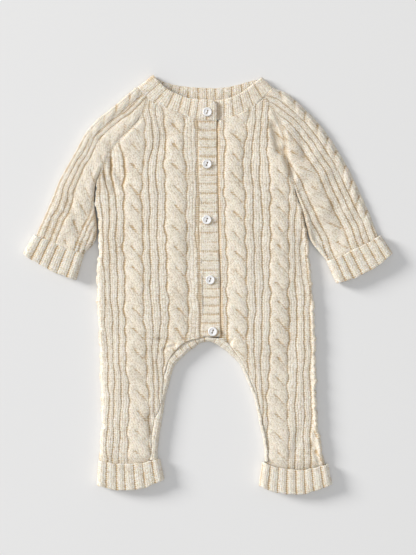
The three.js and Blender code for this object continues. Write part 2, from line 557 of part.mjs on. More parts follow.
function sleeve({ rows, bands, raglan, side, onLeft }) {
  const raglanAt = acrossAt(raglan);
  const sideAt = acrossAt(side);
  const clearOfBody = (edge) => {
    const body = edge.y > side[0].y ? raglanAt(edge.y) : sideAt(edge.y);
    return onLeft ? Math.min(edge.x, body - SEAM * 2) : Math.max(edge.x, body + SEAM * 2);
  };
  const folds = curveOf(rows, 'foldX', 'foldY');
  const edges = curveOf(rows, 'edgeX', 'edgeY');
  const steps = Math.round(folds.getLength() / ROW);
  const positions = bandColumns(bands).filter((position) => position > ROLL + 0.5).reverse();
  const edgeInset = [0, 1.4, ROLL];
  const foldAngles = [45, 0, -45, -90];
  const underInset = [0.5];
  const columns = edgeInset.length * 2 + positions.length + foldAngles.length + underInset.length + 1;

  const stations = [];
  for (let i = 0; i <= steps; i += 1) {
    const t = i / steps;
    const fold = folds.getPoint(t);
    const edge = edges.getPoint(t);
    edge.x = clearOfBody(edge);
    const row = t * (rows.length - 1);
    const low = Math.min(Math.floor(row), rows.length - 2);
    const closed = mix(rows[low].closed, rows[low + 1].closed, row - low);
    const width = Math.hypot(edge.x - fold.x, edge.y - fold.y);
    const into = new THREE.Vector2(edge.x - fold.x, edge.y - fold.y).normalize();
    stations.push({ fold, width, into, closed, along: t * folds.getLength(), last: i === 0 || i === steps });
  }

  // How far from the fold, how high, and which layer, for each column
  function layout(station, j) {
    const { width } = station;
    const topEnd = edgeInset.length + positions.length + 1;
    if (j < edgeInset.length) return { at: width - edgeInset[j], inset: edgeInset[j], upper: true };
    if (j < topEnd - 1) {
      const at = clamp(positions[j - edgeInset.length], ROLL, width - ROLL);
      return { at, inset: width - at, upper: true };
    }
    if (j === topEnd - 1) return { at: ROLL, inset: width - ROLL, upper: true };
    const k = j - topEnd;
    if (k < foldAngles.length) return { angle: THREE.MathUtils.degToRad(foldAngles[k]) };
    const m = k - foldAngles.length;
    if (m < underInset.length) return { at: width * underInset[m], inset: width * underInset[m], upper: false };
    const inset = [...edgeInset].reverse()[m - underInset.length];
    return { at: width - inset, inset, upper: false };
  }
  const place = (station, at, z) => new THREE.Vector3(station.fold.x + station.into.x * at, station.fold.y + station.into.y * at, z);
  const shut = (inset, radius) => Math.sqrt(Math.max(radius ** 2 - (ROLL - Math.max(inset, ROLL - radius)) ** 2, 0));
  const loftAt = (station, at) => LOFT * Math.sin(Math.PI * clamp(at / station.width, 0, 1)) ** 0.7;

  function point(i, j, outside) {
    const station = stations[i];
    const spot = layout(station, j);
    const radius = outside ? ROLL : ROLL - WALL;
    if (spot.angle !== undefined) {
      const turned = rolled(Math.abs(spot.angle), radius);
      return place(station, turned.inward, MIDDLE + Math.sign(spot.angle) * turned.up);
    }
    const tuck = outside ? 0 : 0.5;
    let at = Math.min(spot.at, station.width - tuck);
    let height = radius;
    if (spot.inset < ROLL) {
      const closedAt = outside ? spot.inset : mix(WALL, ROLL, spot.inset / ROLL);
      height = mix(radius, shut(closedAt, radius), station.closed);
      at = mix(at, station.width - closedAt, station.closed);
      height = Math.max(height, SEAM / 2);
    }
    const loft = spot.upper ? loftAt(station, spot.at) * (outside ? 1 : INNER_LOFT) : 0;
    let relief = 0;
    if (outside && spot.upper && !station.last) {
      relief = bandHeight(bands, spot.at, station.along) * smooth(spot.inset, 0, EDGE_FADE + station.closed * ROLL);
    }
    const z = spot.upper ? MIDDLE + height + loft + relief : MIDDLE - height;
    return place(station, at, z);
  }
  const firstFold = edgeInset.length + positions.length;
  return wall({
    rows: stations.length,
    columns,
    outer: (i, j) => point(i, j, true),
    inner: (i, j) => point(i, j, false),
    innerRows: everyNth(stations.length - 1, 2),
    innerColumns: everyNth(columns - 1, 40, [2, Math.round(firstFold / 2), firstFold, firstFold + 2, firstFold + 4,
      columns - 3]),
  });
}

// Turned-up cuffs: a closed ring with ribs on its upper side and a rounded fold at its lower end

function cuff({ top, fold, topBow, foldBow, ribs }) {
  const topWidth = Math.hypot(top[2] - top[0], top[3] - top[1]);
  const foldWidth = Math.hypot(fold[2] - fold[0], fold[3] - fold[1]);
  const down = new THREE.Vector2(fold[0] + fold[2] - top[0] - top[2], fold[1] + fold[3] - top[1] - top[3]).normalize();
  const radius = CUFF_TOP / 2;
  const lengthwise = [0, 0.05, 0.3, 0.6, 0.87, 0.97, 1];
  const inwards = [1.2, 0, 0, 0, 0, 1.1, 2.4];
  const around = [];
  for (const angle of [0, 30, 60]) around.push({ angle, rib: 0 });
  for (let i = 0; i <= ribs * 2; i += 1) around.push({ across: i / (ribs * 2), rib: i % 2 });
  for (const angle of [120, 150, 180, 210, 240, 270]) around.push({ angle, rib: 0 });
  for (const under of HEM_PARTS) around.push({ under });
  for (const angle of [-90, -60, -30]) around.push({ angle, rib: 0 });

  function point(i, j, outside) {
    const t = lengthwise[i];
    const spot = around[j];
    const width = mix(topWidth, foldWidth, t);
    const sunk = outside ? inwards[i] : CUFF_WALL;
    const size = radius - sunk;
    const reach = Math.max(size, 0.2);
    let across;
    let z = radius;
    if (spot.angle !== undefined) {
      const turn = THREE.MathUtils.degToRad(spot.angle);
      const onLeft = spot.angle < 90 && spot.angle >= -90;
      across = onLeft ? radius - reach * Math.cos(turn) : width - radius - reach * Math.cos(turn);
      z += reach * Math.sin(turn);
    } else if (spot.under !== undefined) {
      across = mix(radius, width - radius, spot.under);
      z -= reach;
    } else {
      across = mix(radius, width - radius, spot.across);
      z += reach + (outside && i > 0 && i < lengthwise.length - 1 ? CUFF_RIB * spot.rib : 0);
    }
    const part = clamp(across / width, 0, 1);
    const bow = mix(topBow, foldBow, t) * Math.sin(Math.PI * part);
    const line = (ends, k) => mix(ends[k], ends[k + 2], part);
    const x = mix(line(top, 0), line(fold, 0), t) + down.x * bow;
    const y = mix(line(top, 1), line(fold, 1), t) + down.y * bow;
    return new THREE.Vector3(x, y, z);
  }
  const columns = around.length;
  return wall({
    rows: lengthwise.length,
    columns,
    outer: (i, j) => point(i, j, true),
    inner: (i, j) => point(i, j, false),
    innerRows: [0, lengthwise.length - 1],
    innerColumns: everyNth(columns - 1, 2),
    closed: true,
  });
}

// Neckband

function neckband() {
  const neckPoints = curveOf([...neckLeft, ...[...neckRight].reverse()]).getPoints(120);
  function clearOfFronts(seam) {
    const after = neckPoints.findIndex((point) => point.x >= seam.x);
    if (after > 0) seam.y = Math.max(seam.y, neckPoints[after].y + SEAM * 3, neckPoints[after - 1].y + SEAM * 3);
    return seam;
  }
  const stations = [];
  function stretch(rows, turn) {
    const seams = curveOf(rows, 'seamX', 'seamY');
    const frees = curveOf(rows, 'freeX', 'freeY');
    const count = Math.round(frees.getLength() / NECK_RIB_WIDTH) * 2;
    for (let i = 0; i <= count; i += 1) {
      const t = i / count;
      const row = t * (rows.length - 1);
      const low = Math.min(Math.floor(row), rows.length - 2);
      const lift = mix(rows[low].lift, rows[low + 1].lift, row - low);
      const seam = turn === 0 ? clearOfFronts(seams.getPoint(t)) : seams.getPoint(t);
      stations.push({ seam, free: frees.getPoint(t), lift, turn, rib: i % 2, out: new THREE.Vector2() });
    }
  }
  function shoulder(row, from, to) {
    const out = new THREE.Vector2(row.seamY - row.freeY, row.freeX - row.seamX).normalize();
    if (out.y < 0) out.negate();
    for (const part of [0.25, 0.5, 0.75]) {
      const seam = new THREE.Vector3(row.seamX, row.seamY, 0);
      const free = new THREE.Vector3(row.freeX, row.freeY, 0);
      stations.push({ seam, free, lift: 0, turn: mix(from, to, part), rib: 0, out });
    }
  }
  stretch(neckFrontLeft, 0);
  shoulder(neckBack[0], 0, 1);
  stretch(neckBack, 1);
  shoulder(neckFrontRight[0], 1, 0);
  stretch(neckFrontRight, 0);

  const across = [0, 0.12, 0.5, 0.9, 1];
  function point(i, j, outside) {
    const { seam, free, lift, turn, rib, out } = stations[i];
    const angle = Math.PI * turn;
    const onBack = turn === 1;
    const ribbed = rib && j > 0 && j < across.length - 1 && i > 0 && i < stations.length - 1;
    let relief = 0;
    if (ribbed && outside && turn === 0) relief = NECK_RIB;
    if (ribbed && !outside && onBack && j > 1) relief = -NECK_RIB * 0.8;
    const softened = outside && (j === 0 || j === across.length - 1) ? 0.5 : 0;
    const radius = (outside ? ROLL - (onBack ? 0 : softened) : ROLL - WALL) + relief;
    const x = mix(seam.x, free.x, across[j]) + out.x * radius * Math.sin(angle);
    const y = mix(seam.y, free.y, across[j]) + out.y * radius * Math.sin(angle);
    return new THREE.Vector3(x, y, MIDDLE + radius * Math.cos(angle) + lift);
  }
  return wall({
    rows: stations.length,
    columns: across.length,
    outer: (i, j) => point(i, j, true),
    inner: (i, j) => point(i, j, false),
    innerRows: everyNth(stations.length - 1, 1),
    innerColumns: [0, 2, 3, 4],
  });
}

// Button band and the band beneath it

function bandStrip({ bottom, rib, start }) {
  const leftAt = acrossAt(bandLeft);
  const rightAt = acrossAt(bandRight);
  const length = start - BAND_END;
  const count = rib ? Math.round(length / BAND_RIB_WIDTH) * 2 : 8;
  const across = [0, 0.06, 0.5, 0.94, 1];
  const heightOf = (i) => (i % 2) * rib;
  function point(i, j, outside) {
    const y = start - (length * i) / count;
    const left = leftAt(y);
    const right = rightAt(y);
    const edge = j === 0 || j === across.length - 1;
    const end = i === 0 || i === count;
    const x = mix(left, right, across[j]);
    if (!outside) return new THREE.Vector3(x, y, bottom);
    return new THREE.Vector3(x, y, bottom + BAND - (edge ? 0.7 : 0) + (end || edge ? 0 : heightOf(i)));
  }
  return wall({
    rows: count + 1,
    columns: across.length,
    outer: (i, j) => point(i, j, true),
    inner: (i, j) => point(i, j, false),
    innerRows: everyNth(count, 6),
    innerColumns: [0, 2, across.length - 1],
  });
}

// Buttons

function button() {
  const profile = [[0, 0], [4.7, 0], [BUTTON_RADIUS, 1.2], [5, 2.3], [4.4, BUTTON_HEIGHT], [3.7, 2.1], [0, 1.8]];
  const disc = new THREE.LatheGeometry(profile.map(([x, y]) => new THREE.Vector2(x, y)), 14).rotateX(Math.PI / 2);
  let solid = solidOf(disc);
  for (const side of [-1, 1]) {
    const hole = new THREE.CylinderGeometry(BUTTON_HOLE_RADIUS, BUTTON_HOLE_RADIUS, BUTTON_HEIGHT * 3, 8);
    hole.rotateX(Math.PI / 2).translate(0, (side * BUTTON_HOLE_SPREAD) / 2, 0);
    solid = solid.subtract(solidOf(hole));
  }
  return geometryOf(solid);
}

// The garment

const group = new THREE.Group();

function add(name, geometry, finish) {
  const mesh = new THREE.Mesh(geometry, new THREE.MeshStandardMaterial(finish));
  mesh.name = name;
  group.add(mesh);
  return mesh;
}

add('back', backPanel(), cream);
add('front_left', frontPanel({
  side: leftSide, raglan: leftRaglan, neck: neckLeft, band: bandLeft, inseam: leftInseam, bands: leftFrontBands, hem: leftHem,
  onLeft: true,
}), cream);
add('front_right', frontPanel({
  side: rightSide, raglan: rightRaglan, neck: neckRight, band: bandRight, inseam: rightInseam, bands: rightFrontBands,
  hem: rightHem, onLeft: false,
}), cream);
add('sleeve_left', sleeve({
  rows: leftSleeve, bands: leftSleeveBands, raglan: leftRaglan, side: leftSide, onLeft: true,
}), cream);
add('sleeve_right', sleeve({
  rows: rightSleeve, bands: rightSleeveBands, raglan: rightRaglan, side: rightSide, onLeft: false,
}), cream);
for (const [name, size] of Object.entries(cuffs)) add(name, cuff(size), cream);
add('neckband', neckband(), cream);
add('under_band', bandStrip({ bottom: UNDER_BAND_Z, rib: 0, start: 194.6 }), cream);
add('button_band', bandStrip({ bottom: TOP_BAND_Z, rib: BAND_RIB, start: 195 }), cream);

const neckTop = LAID + 1.4 + NECK_RIB;
const bandTop = TOP_BAND_Z + BAND + BAND_RIB;
buttonPlaces.forEach(({ x, y }, i) => {
  const mesh = add(`button_${i + 1}`, button(), shell);
  mesh.position.set(x, y, (i === 0 ? neckTop : bandTop) + SEAM);
  mesh.rotation.z = THREE.MathUtils.degToRad(BUTTON_TURN);
});

// The origin goes under the middle of the garment
const box = new THREE.Box3().setFromObject(group, true);
group.position.set(-(box.min.x + box.max.x) / 2, -(box.min.y + box.max.y) / 2, -box.min.z);

export default group;
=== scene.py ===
# A baby romper in cable knit, buttoned and laid flat on its back,
# seen from straight above with the neck towards +Y.
# Outlines are in millimetres, as in the part's source, until a mesh is made.
import math

import bmesh
import bpy
import numpy as np
from mathutils import Matrix, Vector


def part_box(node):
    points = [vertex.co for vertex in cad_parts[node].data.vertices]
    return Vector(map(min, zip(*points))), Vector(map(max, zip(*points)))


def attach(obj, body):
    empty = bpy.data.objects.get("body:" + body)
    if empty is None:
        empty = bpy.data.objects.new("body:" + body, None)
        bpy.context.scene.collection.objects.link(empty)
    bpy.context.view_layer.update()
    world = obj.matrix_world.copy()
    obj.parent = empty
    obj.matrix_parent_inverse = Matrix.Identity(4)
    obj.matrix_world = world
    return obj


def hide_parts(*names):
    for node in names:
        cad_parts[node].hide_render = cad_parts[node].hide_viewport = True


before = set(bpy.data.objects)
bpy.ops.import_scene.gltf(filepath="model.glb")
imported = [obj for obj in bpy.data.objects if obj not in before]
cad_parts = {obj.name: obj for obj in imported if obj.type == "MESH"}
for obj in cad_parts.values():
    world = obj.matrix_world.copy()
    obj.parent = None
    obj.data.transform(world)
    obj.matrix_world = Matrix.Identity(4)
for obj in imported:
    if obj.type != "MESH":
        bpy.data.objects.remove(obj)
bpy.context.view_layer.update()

MM = 0.001

# Cloth, as in the part's source
LAID = 9.9  # the front's outer face above the floor
MIDDLE = 4.5  # height of the soft edge where front and back meet
ROLL = 4.5  # radius of that edge
SEAM = 0.3  # gap between two pieces at a seam
LOFT = 1.4  # how far the middle of a panel stands above its edges
THICKNESS = 1.8  # of the shells

# Knit
RIB = 0.52  # height of a rib above its grooves
CABLE = 1.35  # height of a cable
STITCH = 3.1  # width of a stitch
COURSE = 2.2  # height of a stitch
OVERLAP = 0.5  # how far each panel runs on under a seam, so that no gap shows
NECK_TUCK = 2.2  # how far a front runs on under the neckband
TUCK = 3.0  # how far a panel runs on under the button band and under the cuffs
BINDING_TUCK = 2.2  # how far the inseam binding runs on under the left leg's cuff
SLOPE = 2.8  # how far the right of the garment lies lower than its middle
FAR = 9.0  # more than the distance of any point from a groove
SPECKED = 2.2  # near enough to a groove for a few specks of its painted shade
STEP_ACROSS = 0.95  # distance between the points of a panel, across and along the ribs
STEP_ALONG = 1.4

# Cuffs, neckband and button band
CUFF_TOP = 12.2
NECK_RIB_WIDTH = 10.4
BAND_TOP = 9.8
BAND_END = -63.8
BAND_START = 198.0
BUTTON_TURN = -20  # degrees that the pair of holes leans
PRESSED_IN = 1.2  # how far each button sinks into the knit

BUTTON_PLACES = [(-0.8, 206.4), (-1.2, 144.0), (-1.4, 77.0), (2.6, 5.0), (5.6, -57.0)]

# The source's origin was moved under the middle of the garment, and the lowest button shows by how much
button_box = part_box("button_5")
SHIFT = np.array([(button_box[0][i] + button_box[1][i]) / 2 / MM - BUTTON_PLACES[4][i] for i in (0, 1)])

# Edges of the panels, from the neck down
LEFT_RAGLAN = [(-72.4, 223.4), (-82.8, 197), (-97.2, 182.4), (-114, 164.4), (-124.8, 143), (-133.8, 121)]
RIGHT_RAGLAN = [(69, 223.6), (79.8, 209.4), (88.3, 189.6), (93.2, 172.8), (94.2, 152), (98.6, 136.5)]
LEFT_SIDE = [
    (-133.8, 121), (-135, 101), (-132, 71), (-132, 41), (-134, 10), (-133.5, -19), (-130.8, -67),
    (-129.6, -115), (-128, -163), (-130.2, -199), (-131.2, -211.8),
]
RIGHT_SIDE = [
    (98.6, 136.5), (103, 124), (105.8, 108), (110.2, 96), (114.6, 84), (117.8, 68), (121, 48), (123, 20),
    (126, -10), (128.4, -38), (129.8, -77), (130.4, -115), (131.2, -154), (134.4, -182), (138, -202),
    (141.4, -215.4),
]
NECK_LEFT = [(-72.8, 223.6), (-65.4, 216), (-44.6, 207.6), (-25.2, 200.4), (-12.8, 196.6)]
NECK_RIGHT = [(69.4, 223.8), (58.2, 214.8), (47.2, 207.6), (28.8, 199), (12, 195)]
BACK_NECK = [
    (-70, 221.6), (-45, 213.6), (-8.4, 210.2), (2, 209.7),
    (13.2, 209.8), (34.8, 213.2), (56, 220), (67, 222.4),
]
BAND_LEFT = [(-12.7, 200), (-11, 101), (-10.2, 29), (-8.5, -64)]
BAND_RIGHT = [(11.4, 200), (12.6, 101), (14.4, 29), (16.2, -64)]

# The inseam: the garment's edge between the legs (x, y) and the seam of the binding that wraps it (x, y)
LEFT_INSEAM = [
    (-3, -70, -3, -64.4), (-10, -71.5, -13, -65), (-16, -76.5, -22, -67.4), (-24, -82, -30.5, -71.8),
    (-31, -88.5, -38, -79), (-38.5, -96, -45, -88.5), (-43.2, -105.6, -50.5, -102),
    (-46, -118, -53, -115.4),
    (-50, -132, -54.6, -130.8), (-52.5, -146, -56, -145.4), (-55.2, -163, -63.6, -162),
    (-58.6, -182.4, -67.4, -181.6),
    (-60.6, -201, -68, -200.4), (-60.8, -209.4, -69.6, -209),
]
RIGHT_INSEAM = [
    (-3, -70, -3, -64.4), (4, -70, 7, -64.5), (10, -72.5, 15.5, -65.6), (16.5, -77, 22, -69.4),
    (24, -82.4, 29, -76.6),
    (31, -89, 35, -85), (38.4, -97, 41.8, -95), (43.2, -106.5, 46.4, -105.4), (46.8, -116, 50, -115),
    (51, -126, 54.2, -125), (55.6, -138, 58.8, -137.2), (59.4, -154, 62.6, -153.4),
    (63, -173, 66.2, -172.4),
    (67, -192, 70.2, -191.6), (68.6, -213.4, 71.8, -213.2),
]

# Sleeves: the shoulder fold (x, y), and the raglan and underarm edge (x, y)
LEFT_SLEEVE = [
    (-85, 237.4, -70, 225.2), (-88.2, 234.6, -73.2, 222.4), (-98.6, 225.4, -79.2, 205),
    (-115.2, 211.2, -89, 190.9), (-133.2, 196.8, -107.4, 171.6), (-146.6, 182, -117.6, 157.6),
    (-157.4, 163.2, -125.4, 142.4),
    (-168, 144, -134.2, 122), (-178.6, 125, -136.6, 105), (-186.4, 105.6, -135.6, 88),
    (-194.4, 86.4, -133.4, 68), (-201.4, 71, -136, 51), (-206.6, 58.8, -149.2, 35.8),
    (-208.2, 55.1, -150.8, 32.1),
]
RIGHT_SLEEVE = [
    (75.6, 236.2, 65, 225), (81, 234, 70, 223), (94, 228.8, 77, 214), (107, 218.4, 82.4, 205),
    (121.2, 204.4, 88.8, 190),
    (132.4, 193.2, 92.6, 176), (147.8, 172.8, 94.6, 154), (159.6, 153.6, 99.6, 135),
    (170.4, 134.4, 106.2, 109), (179.4, 115.2, 113.6, 88), (188.4, 96, 118.6, 68), (196.8, 77, 124, 51),
    (205.2, 57.2, 143, 27.1), (206.8, 53.5, 144.6, 23.4),
]

# How far body and sleeve roll shut beside each other, by height: in the armpits they press together
SHUT_HEIGHTS = (51, 68, 88, 107, 128)
SHUT_PARTS = (1, 0.7, 0.45, 0.22, 0)

# Lower ends of the legs: the two ends of a line that bows down in its middle
LEFT_HEM = (-132, -211.9, -57.6, -209.7, 4.5)
RIGHT_HEM = (65, -213.6, 144.6, -215.6, 8)

# Turned-up cuffs: the two ends of the upper edge and of the lower fold, how far each bows out, and the ribs
CUFFS = {
    "sleeve_cuff_left": ((-209.9, 59.5, -148.9, 35.1), (-222.8, 36.4, -158.6, 4.2), 0.8, 3, 6),
    "sleeve_cuff_right": ((142.5, 26.3, 208.2, 58), (154.4, 0, 222.6, 36.4), 0.8, 5, 7),
    "leg_cuff_left": ((-132, -212.5, -57.6, -210.3), (-134, -242, -52.2, -235), 4.5, 9, 7),
    "leg_cuff_right": ((65, -214.2, 144.6, -216.2), (60.8, -243, 149.6, -240.4), 8, 11, 8),
}

# The neckband: its seam edge (x, y), its free edge (x, y) and the lift of its overlapping ends
NECK_FRONT_LEFT = [
    (10.8, 195.6, 10.4, 220.4, 1.4), (-1, 196, -1, 221.6, 1.4), (-12.8, 197, -10, 221.8, 1.3),
    (-25.2, 200.9, -22, 223, 0.5), (-44.6, 208.1, -37.4, 228.8, 0), (-65.2, 216.8, -50, 235.4, 0),
    (-83.6, 232.4, -63.4, 248.4, 0),
]
NECK_BACK = [
    (-83.6, 232.4, -63.4, 248.4, 0), (-69.6, 222.6, -52, 243.2, 0), (-45, 214.4, -37.6, 239.2, 0),
    (-8.4, 211, -8.4, 236.4, 0), (13.2, 210.6, 13.2, 236, 0), (34.8, 214, 34.8, 239.4, 0),
    (54, 220.8, 49, 243.6, 0),
    (75, 232.8, 61.6, 246.2, 0),
]
NECK_FRONT_RIGHT = [
    (75, 232.8, 61.6, 246.2, 0), (58.4, 215.8, 48.6, 236.4, 0), (47.2, 208.4, 40.8, 230.6, 0),
    (28.8, 199.9, 26.6, 224, 0), (13, 196.2, 13, 221.4, -2.1), (-11, 196.6, -11, 221.2, -2.1),
]

# Grooves between the ribs and cables of each front: a height, and how far across each groove is there
LEFT_GROOVES = [
    (208.8, -132, -124.8, -116.4, -106.8, -78, -69.6, -62.4, -54.6, -27.8, -15.6),
    (175.2, -131.4, -124.8, -118.2, -106.8, -74.4, -66, -58.4, -51.2, -29.4, -15.2),
    (141.6, -132, -124.8, -116.4, -100.4, -78.1, -70.9, -61.8, -52, -26.6, -13.4),
    (91.2, -127.2, -118.3, -110, -101.2, -79, -70, -60.2, -51.2, -25.4, -14.4),
    (40.8, -125.4, -118.8, -109.9, -101, -77.4, -69.6, -60.2, -50.4, -25.8, -13.4),
    (-9.6, -123.6, -116.5, -107.8, -99.7, -77.4, -68.4, -57.6, -48, -24.2, -10.8),
    (-60, -122.4, -114.2, -107.2, -99.4, -75.1, -66, -57.6, -47.8, -24.2, -9.6),
    (-93.6, -119.8, -113, -105.6, -97.7, -73.3, -66.1, -60.8, -54, -30, -12),
    (-144, -118.8, -112.3, -103.9, -94.6, -71, -64, -57.4, -50.4, -30, -12),
    (-194.4, -121.4, -114.4, -106.8, -96.6, -69.6, -59.4, -51.6, -44, -30, -12),
]
LEFT_KINDS = ["rib", "rib", "rib", "rib", "cable", "rib", "rib", "rib", "cable", "flat", "flat"]
RIGHT_GROOVES = [
    (208.8, 18.6, 50.4, 58, 65.4, 72.6, 98.4, 106.8, 114, 121.2),
    (175.2, 19.9, 45.1, 54.1, 62.9, 70.9, 96, 105, 112.8, 120),
    (141.6, 19.6, 42.6, 52.6, 61.8, 73.1, 97.8, 105.6, 112.8, 120),
    (91.2, 19.9, 44.8, 54.8, 65, 75, 97.2, 105.6, 113.4, 121.2),
    (40.8, 22.4, 45.7, 55.3, 65, 74.4, 97.1, 104.2, 111, 117.6),
    (-9.6, 23, 47.4, 57.1, 66.1, 74.3, 97.2, 106.1, 115.2, 121.8),
    (-60, 22.7, 47.6, 55.7, 64.3, 74.4, 97.6, 106.8, 116, 122.9),
    (-110.4, 25.2, 48.5, 56.8, 64, 73.1, 95.5, 106.7, 115.4, 122.9),
    (-144, 27.6, 50.4, 61.4, 66, 70.8, 95.9, 105.6, 115.7, 124),
    (-194.4, 30, 52.8, 60, 66, 72, 97.1, 105.2, 115.6, 123.5),
]
RIGHT_KINDS = ["flat", "cable", "rib", "rib", "rib", "cable", "rib", "rib", "rib", "side"]

# Ribs and cables of the sleeves, by their distance from the shoulder fold
LEFT_SLEEVE_BANDS = [
    (0, 2, "rib"), (2, 8, "rib"), (8, 13.2, "rib"), (13.2, 18.6, "rib"), (18.6, 43.1, "cable"),
    (43.1, 48, "rib"),
    (48, 54, "rib"), (54, 60, "rib"), (60, 66, "rib"),
]
RIGHT_SLEEVE_BANDS = [
    (0, 3, "rib"), (3, 11.6, "rib"), (11.6, 19, "rib"), (19, 26.6, "rib"), (26.6, 35.7, "rib"),
    (35.7, 58.4, "cable"),
    (58.4, 66, "rib"), (66, 74, "rib"),
]

# Height at which a crossing of each cable starts, and how long a crossing is
LEFT_ROPES = {3: (44.0, 24.6), 7: (44.0, 24.6)}
RIGHT_ROPES = {0: (38.6, 23.4), 4: (46.0, 22.6)}
SLEEVE_ROPE = (0.0, 24.0)

# Soft troughs of the laid cloth: from, to, half width on the left and on the right, and depth
TROUGHS = [
    (78, 188, 84, 162, 3.6, 9, 3.0), (90, 160, 102, 130, 3.5, 5, 2.2), (-118, 146, -103, 122, 4, 5, 1.9),
    (-124, 134, -112, 112, 4, 4, 1.6), (-58, -66, -40, -70, 3.5, 3.5, 1.6),
    (-52, -78, -40, -74, 2.5, 2.5, 1.4),
    (18, -58, 26, -72, 3, 3, 1.8), (30, -66, 22, -76, 2.5, 2.5, 1.3), (-70, -160, -62, -196, 4, 4, 1.6),
    (110, -176, 104, -206, 5, 5, 1.2), (-20, 60, -24, -20, 7, 7, 0.5), (60, 100, 64, 20, 8, 8, 0.5),
    (-96, 60, -92, -60, 9, 9, 0.6), (104, 0, 100, -90, 7, 7, 0.7), (-40, 190, -62, 160, 7, 7, 0.8),
    (36, 184, 52, 160, 6, 6, 0.7), (-166, 100, -152, 60, 6, 6, 1.0), (150, 110, 160, 60, 7, 7, 1.0),
    (-128, 176, -112, 160, 5, 5, 1.0), (110, 180, 118, 150, 5, 6, 1.5), (126, -196, 134, -212, 4, 5, 1.8),
]


# Lines and waves


def curve(points, part):
    """Places on a smooth line through points, for parts of it from 0 to 1."""
    points = np.array(points, float)
    ends = np.vstack([2 * points[0] - points[1], points, 2 * points[-1] - points[-2]])
    spot = np.clip(np.asarray(part, float), 0, 1) * (len(points) - 1)
    low = np.minimum(spot.astype(int), len(points) - 2)
    local = (spot - low)[..., None]
    p0, p1, p2, p3 = (ends[low + i] for i in range(4))
    apart = [
        np.maximum(np.linalg.norm(b - a, axis=-1, keepdims=True) ** 0.5, 1e-4)
        for a, b in ((p0, p1), (p1, p2), (p2, p3))
    ]
    d0, d1, d2 = apart
    slope1 = ((p1 - p0) / d0 - (p2 - p0) / (d0 + d1) + (p2 - p1) / d1) * d1
    slope2 = ((p2 - p1) / d1 - (p3 - p1) / (d1 + d2) + (p3 - p2) / d2) * d1
    cubic = 2 * p1 - 2 * p2 + slope1 + slope2
    square = -3 * p1 + 3 * p2 - 2 * slope1 - slope2
    return p1 + local * (slope1 + local * (square + local * cubic))


def across_at(points):
    """How far across a line that runs down the garment is, as a function of the height."""
    line = curve(points, np.linspace(0, 1, len(points) * 16))[::-1]
    return lambda height: np.interp(height, line[:, 1], line[:, 0])


def smooth(value, low, high):
    part = np.clip((value - low) / (high - low), 0, 1)
    return part * part * (3 - 2 * part)


def mix(a, b, part):
    return a + (b - a) * part


def waves(place, seed, lengths=(71, 37, 19, 7.1, 4.6), sizes=(0.65, 0.45, 0.2, 0.2, 0.2)):
    """Uneven waves along a rib, in millimetres."""
    shifts = np.random.default_rng(seed).uniform(0, 2 * math.pi, len(lengths))
    return sum(
        size * np.sin(2 * math.pi * place / length + shift)
        for length, size, shift in zip(lengths, sizes, shifts)
    )


def hills(x, y, seed, count=10, shortest=22, longest=90):
    """A soft uneven surface between about -1 and 1."""
    chance = np.random.default_rng(seed)
    total = np.zeros_like(x)
    for _ in range(count):
        turn, shift = chance.uniform(0, 2 * math.pi, 2)
        length = chance.uniform(shortest, longest)
        total += np.sin(2 * math.pi * (x * math.cos(turn) + y * math.sin(turn)) / length + shift)
    return total / count ** 0.5


def blurred(field, rows, columns):
    """The field with its small forms smoothed away, over so many rows and columns."""
    for axis, reach in ((0, rows), (1, columns)):
        pad = [(0, 0), (0, 0)]
        pad[axis] = (2 * reach, 2 * reach)
        padded = np.pad(field, pad, mode="edge")
        offsets = np.arange(-2 * reach, 2 * reach + 1)
        weights = np.exp(-0.5 * (offsets / reach) ** 2)
        size = field.shape[axis]
        field = sum(
            w * np.take(padded, range(k, k + size), axis)
            for k, w in enumerate(weights / weights.sum())
        )
    return field


# Ribs and cables


def rib_height(across, power=2.6):
    """Height over a rib; a lower power makes it rounder."""
    return RIB * (1 - np.abs(2 * np.clip(across, 0, 1) - 1) ** power)


def rope(across, along, width, pitch):
    """A cable of two strands that change places: its height, and how far each point is from the line that the
    upper strand draws as it crosses."""
    turn = along - np.floor(along)
    moved = smooth(turn, 0.04, 0.96)
    reach, half = 0.22, 0.28
    lift = np.sin(math.pi * turn)
    strands = []
    for way, rise in ((1, 0.16), (-1, -0.16)):
        centre = 0.5 + way * reach * (2 * moved - 1)
        side = np.clip(np.abs(across - centre) / half, 0, 1)
        strands.append((0.86 + rise * lift) * (1 - side ** 2.4) ** 0.6)
    height = np.logaddexp(strands[0] * 12, strands[1] * 12) / 12
    bed = 0.46 * (1 - np.abs(2 * np.clip(across, 0, 1) - 1) ** 4)
    height = np.logaddexp(height * 16, bed * 16) / 16
    down = along - np.rint(along)
    number = np.rint(along)
    start = 0.46 + 0.05 * np.sin(number * 2.4)
    reached = 0.42 + 0.08 * np.sin(number * 1.7 + 1)
    aside = (across - start - (0.95 + 0.2 * np.sin(number * 3.1)) * down) * width * 0.72
    past = np.maximum(np.maximum(-down - 0.04, down - reached), 0) * pitch
    line = np.hypot(aside, past) + np.clip(down / reached, 0, 1) * 0.5 - 0.1
    height = height - 0.2 * np.exp(-(line / 1.5) ** 2)
    edge = np.clip(1 - np.abs(2 * across - 1), 0, 1) * 6
    return CABLE * np.maximum(height, 0) * np.clip(edge, 0, 1) ** 0.6, line


def slanting(across, along, width, number):
    """Stitch columns of a cable, which slant with its strands and are counted below zero."""
    return (across * width + along * 0.5) / STITCH - 500 - 40 * number


